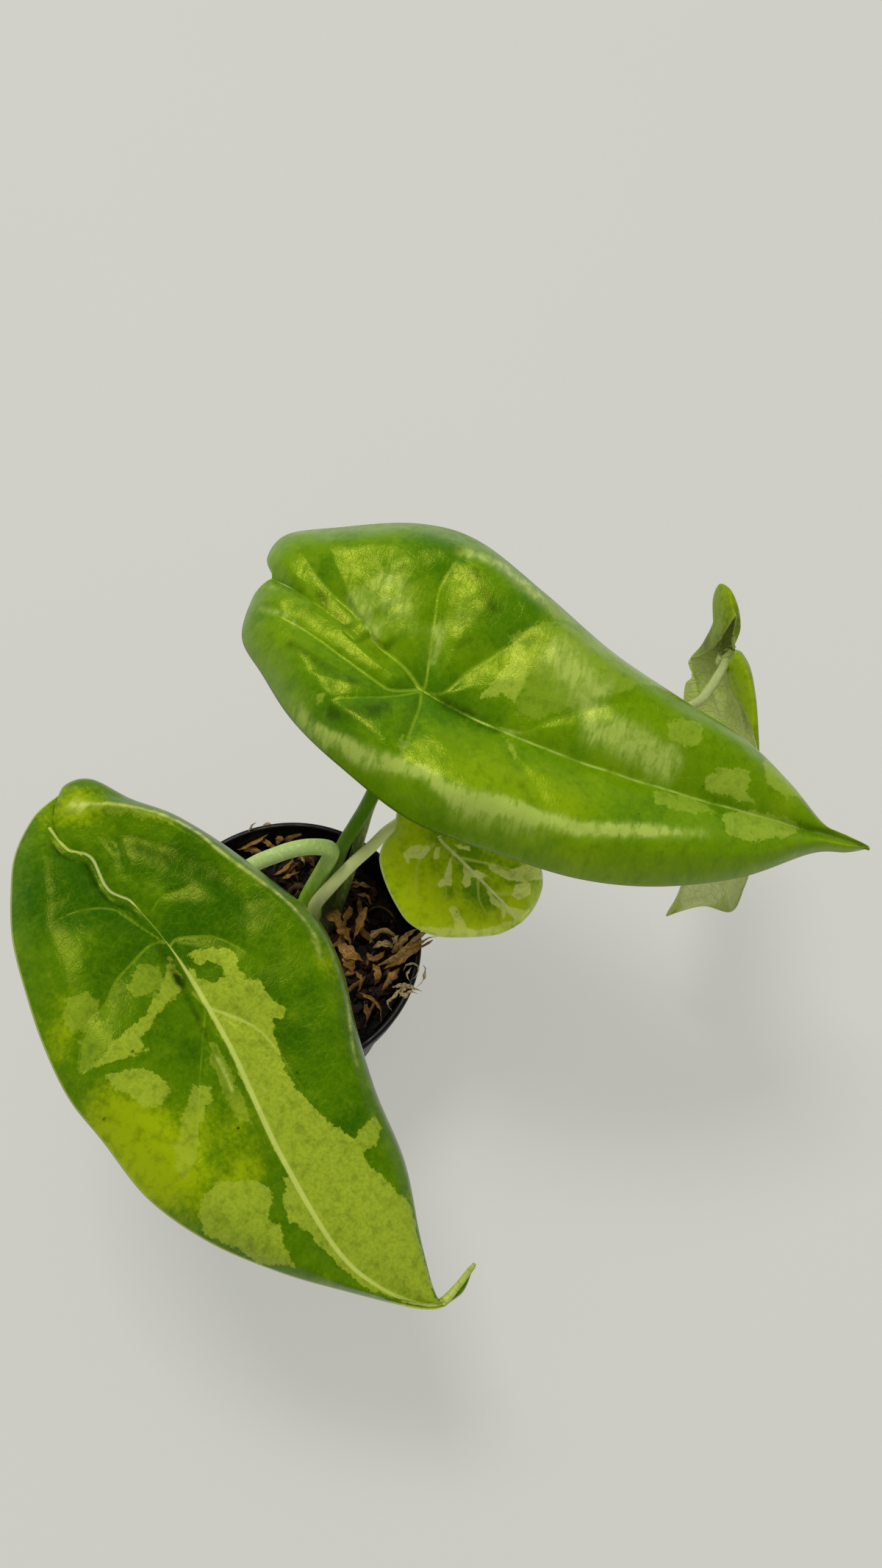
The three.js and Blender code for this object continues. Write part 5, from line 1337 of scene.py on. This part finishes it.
def huskMaterial():
    fibre = Shader("dryHusk", 0.75, 0.35)
    tone = fibre.attribute("huskTone")
    cloud = fibre.noise(260, 4)
    level = fibre.math("ADD", tone, fibre.math("MULTIPLY", fibre.math("SUBTRACT", cloud, 0.5), 0.55))
    colour = fibre.mix(fibre.ramp(level, 0.0, 0.5), rgb(*husk["dark"]), rgb(*husk["golden"]))
    colour = fibre.mix(fibre.ramp(level, 0.45, 1.0), colour, rgb(*husk["straw"]))
    # lengthwise fibres, drawn from the place across the strand
    place = fibre.add("ShaderNodeCombineXYZ")
    fibre.feed(place.inputs["X"], fibre.math("MULTIPLY", fibre.attribute("across"), 7.0))
    fibre.feed(place.inputs["Y"], fibre.math("MULTIPLY", fibre.attribute("along"), 5.0))
    fibre.feed(place.inputs["Z"], fibre.math("MULTIPLY", tone, 90.0))
    lines = fibre.noise(1.0, 4, place.outputs["Vector"], roughness=0.7)
    colour = fibre.mix(fibre.ramp(lines, 0.32, 0.62, 0.85, 0.0), colour, rgb(*husk["lines"]))
    # darker blotches: painted shade in the strands' hollows
    hollowShadeMask = fibre.ramp(fibre.noise(900, 3), 0.35, 0.55, 0.5, 0.0)
    colour = fibre.mix(hollowShadeMask, colour, rgb(*husk["hollowShade"]))
    return fibre.finish(colour, fibre.math("ADD", lines, cloud), husk["bump"] * mm)


# Stem base: a short stump with its dry sheaths.
stemBase = {
    "radius": 10.5, "top": 60.5, "bottom": 34, "sheaths": 5, "sheathWidth": 6.5, "seed": 3, "bump": 0.3,
    "green": (0.05, 0.075, 0.012), "pale": (0.11, 0.13, 0.03), "sheath": (0.11, 0.055, 0.018),
    "lines": (0.03, 0.018, 0.006),
}


def makeStemBase(material):
    low, high, radius = stemBase["bottom"], stemBase["top"], stemBase["radius"]
    profile = [(0.3, low), (radius * 0.5, low), (radius * 0.85, low + 6), (radius, low + 14),
               (radius, high - 5), (radius * 0.95, high - 3), (radius * 0.8, high - 1),
               (radius * 0.5, high), (0.3, high + 0.1)]
    stump = spinProfile(profile, 48)
    bmesh.ops.holes_fill(stump, edges=stump.edges, sides=0)
    for vert in stump.verts:
        vert.co += noise.noise_vector(vert.co * 220) * 0.7 * mm
    bmesh.ops.recalc_face_normals(stump, faces=stump.faces)
    centre = Vector((mix["crown"][0], mix["crown"][1], 0)) * mm
    stump.transform(Matrix.Translation(centre))
    draw = random.Random(stemBase["seed"])
    parts = [stump]
    for i in range(stemBase["sheaths"]):
        turn = 2 * math.pi * i / stemBase["sheaths"] + draw.uniform(-0.3, 0.3)
        out = Vector((math.cos(turn), math.sin(turn), 0))
        side = Vector((-out.y, out.x, 0))
        foot = centre + out * (radius - 2.0) * mm + Vector((0, 0, (high - 8) * mm))
        reach, rise = radius - 1.5 + draw.uniform(-1, 1), high + draw.uniform(1, 4)
        tip = centre + out * reach * mm + Vector((0, 0, rise * mm))
        middle = (foot + tip) / 2 + out * 1.2 * mm + side * draw.uniform(-1, 1) * mm
        tone = draw.uniform(0.2, 0.5)
        parts.append(huskStrand([foot, middle, tip], stemBase["sheathWidth"], tone, draw, 14))
    piece = addPiece("stemBase", gather(parts), [material])
    dress(piece, "stem_base", "stem_base")


def stemMaterial():
    stem = Shader("stemBase", 0.55)
    cloud = stem.noise(160, 4)
    lines = stem.noise(1.0, 3, stem.scaled(stem.objectPlace, (900, 900, 160)))
    colour = stem.mix(stem.ramp(cloud, 0.35, 0.65), rgb(*stemBase["green"]), rgb(*stemBase["pale"]))
    dry = stem.ramp(stem.attribute("huskTone"), 0.05, 0.2)
    colour = stem.mix(dry, colour, rgb(*stemBase["sheath"]))
    colour = stem.mix(stem.ramp(lines, 0.4, 0.7, 0.35, 0.0), colour, rgb(*stemBase["lines"]))
    return stem.finish(colour, stem.math("ADD", cloud, lines), stemBase["bump"] * mm)


# Pale floor, which also glows to lift its shadows (painted light), and soft light.
studio = {
    "floor": (0.24, 0.24, 0.225), "glow": (0.405, 0.405, 0.375), "reach": 3.0,
    "world": (1.0, 1.0, 0.95), "worldPower": 0.43, "aim": (0.04, 0, 0.1),
    "lights": [
        # name, place, size, power, colour; each points at the plant
        ("windowBack", (-0.38, 0.75, 2.35), (0.75, 0.75), 31, (1.0, 0.99, 0.94)),
    ],
}


def addStage():
    bm = bmesh.new()
    bmesh.ops.create_grid(bm, x_segments=24, y_segments=24, size=studio["reach"])
    sweep = Shader("paleSweep", 0.85, 0.2)
    cloud = sweep.ramp(sweep.noise(1.6, 3), 0.3, 0.7)
    colour = sweep.mix(cloud, rgb(*studio["floor"]), shaded(studio["floor"], 0.96))
    sweep.surface.inputs["Emission Color"].default_value = rgb(*studio["glow"])
    sweep.surface.inputs["Emission Strength"].default_value = 1.0
    floor = addPiece("paleFloor", bm, [sweep.finish(colour, sweep.noise(600, 3), 0.05 * mm)])
    world = bpy.data.worlds.new("softWorld")
    world.use_nodes = True
    background = world.node_tree.nodes["Background"].inputs
    background["Color"].default_value = rgb(*studio["world"])
    background["Strength"].default_value = studio["worldPower"]
    scene.world = world
    for name, place, size, power, colour in studio["lights"]:
        data = bpy.data.lights.new(name, "AREA")
        data.shape = "RECTANGLE"
        data.size, data.size_y = size
        data.energy = power
        data.color = colour
        light = bpy.data.objects.new(name, data)
        light.location = place
        towards = Vector(studio["aim"]) - Vector(place)
        light.rotation_euler = towards.to_track_quat("-Z", "Y").to_euler()
        scene.collection.objects.link(light)
    scene.view_settings.view_transform = "Standard"


# Build.
addCamera()
addStage()
print("camera, floor and lights are in")
makePot(potMaterial())
print("pot done")
makeMix(mixMaterial())
makeHusk(huskMaterial())
makeStemBase(stemMaterial())
print("mix, husk and stem base done")
for name, look in petioles.items():
    makePetiole(name, look)
print("petioles done")
for leaf in (leafFront, leafBack, leafYoung, leafFolded):
    makeBlade(leaf, [leafUpperMaterial(leaf), leafUnderMaterial(leaf)])
    print("blade done:", leaf["name"])
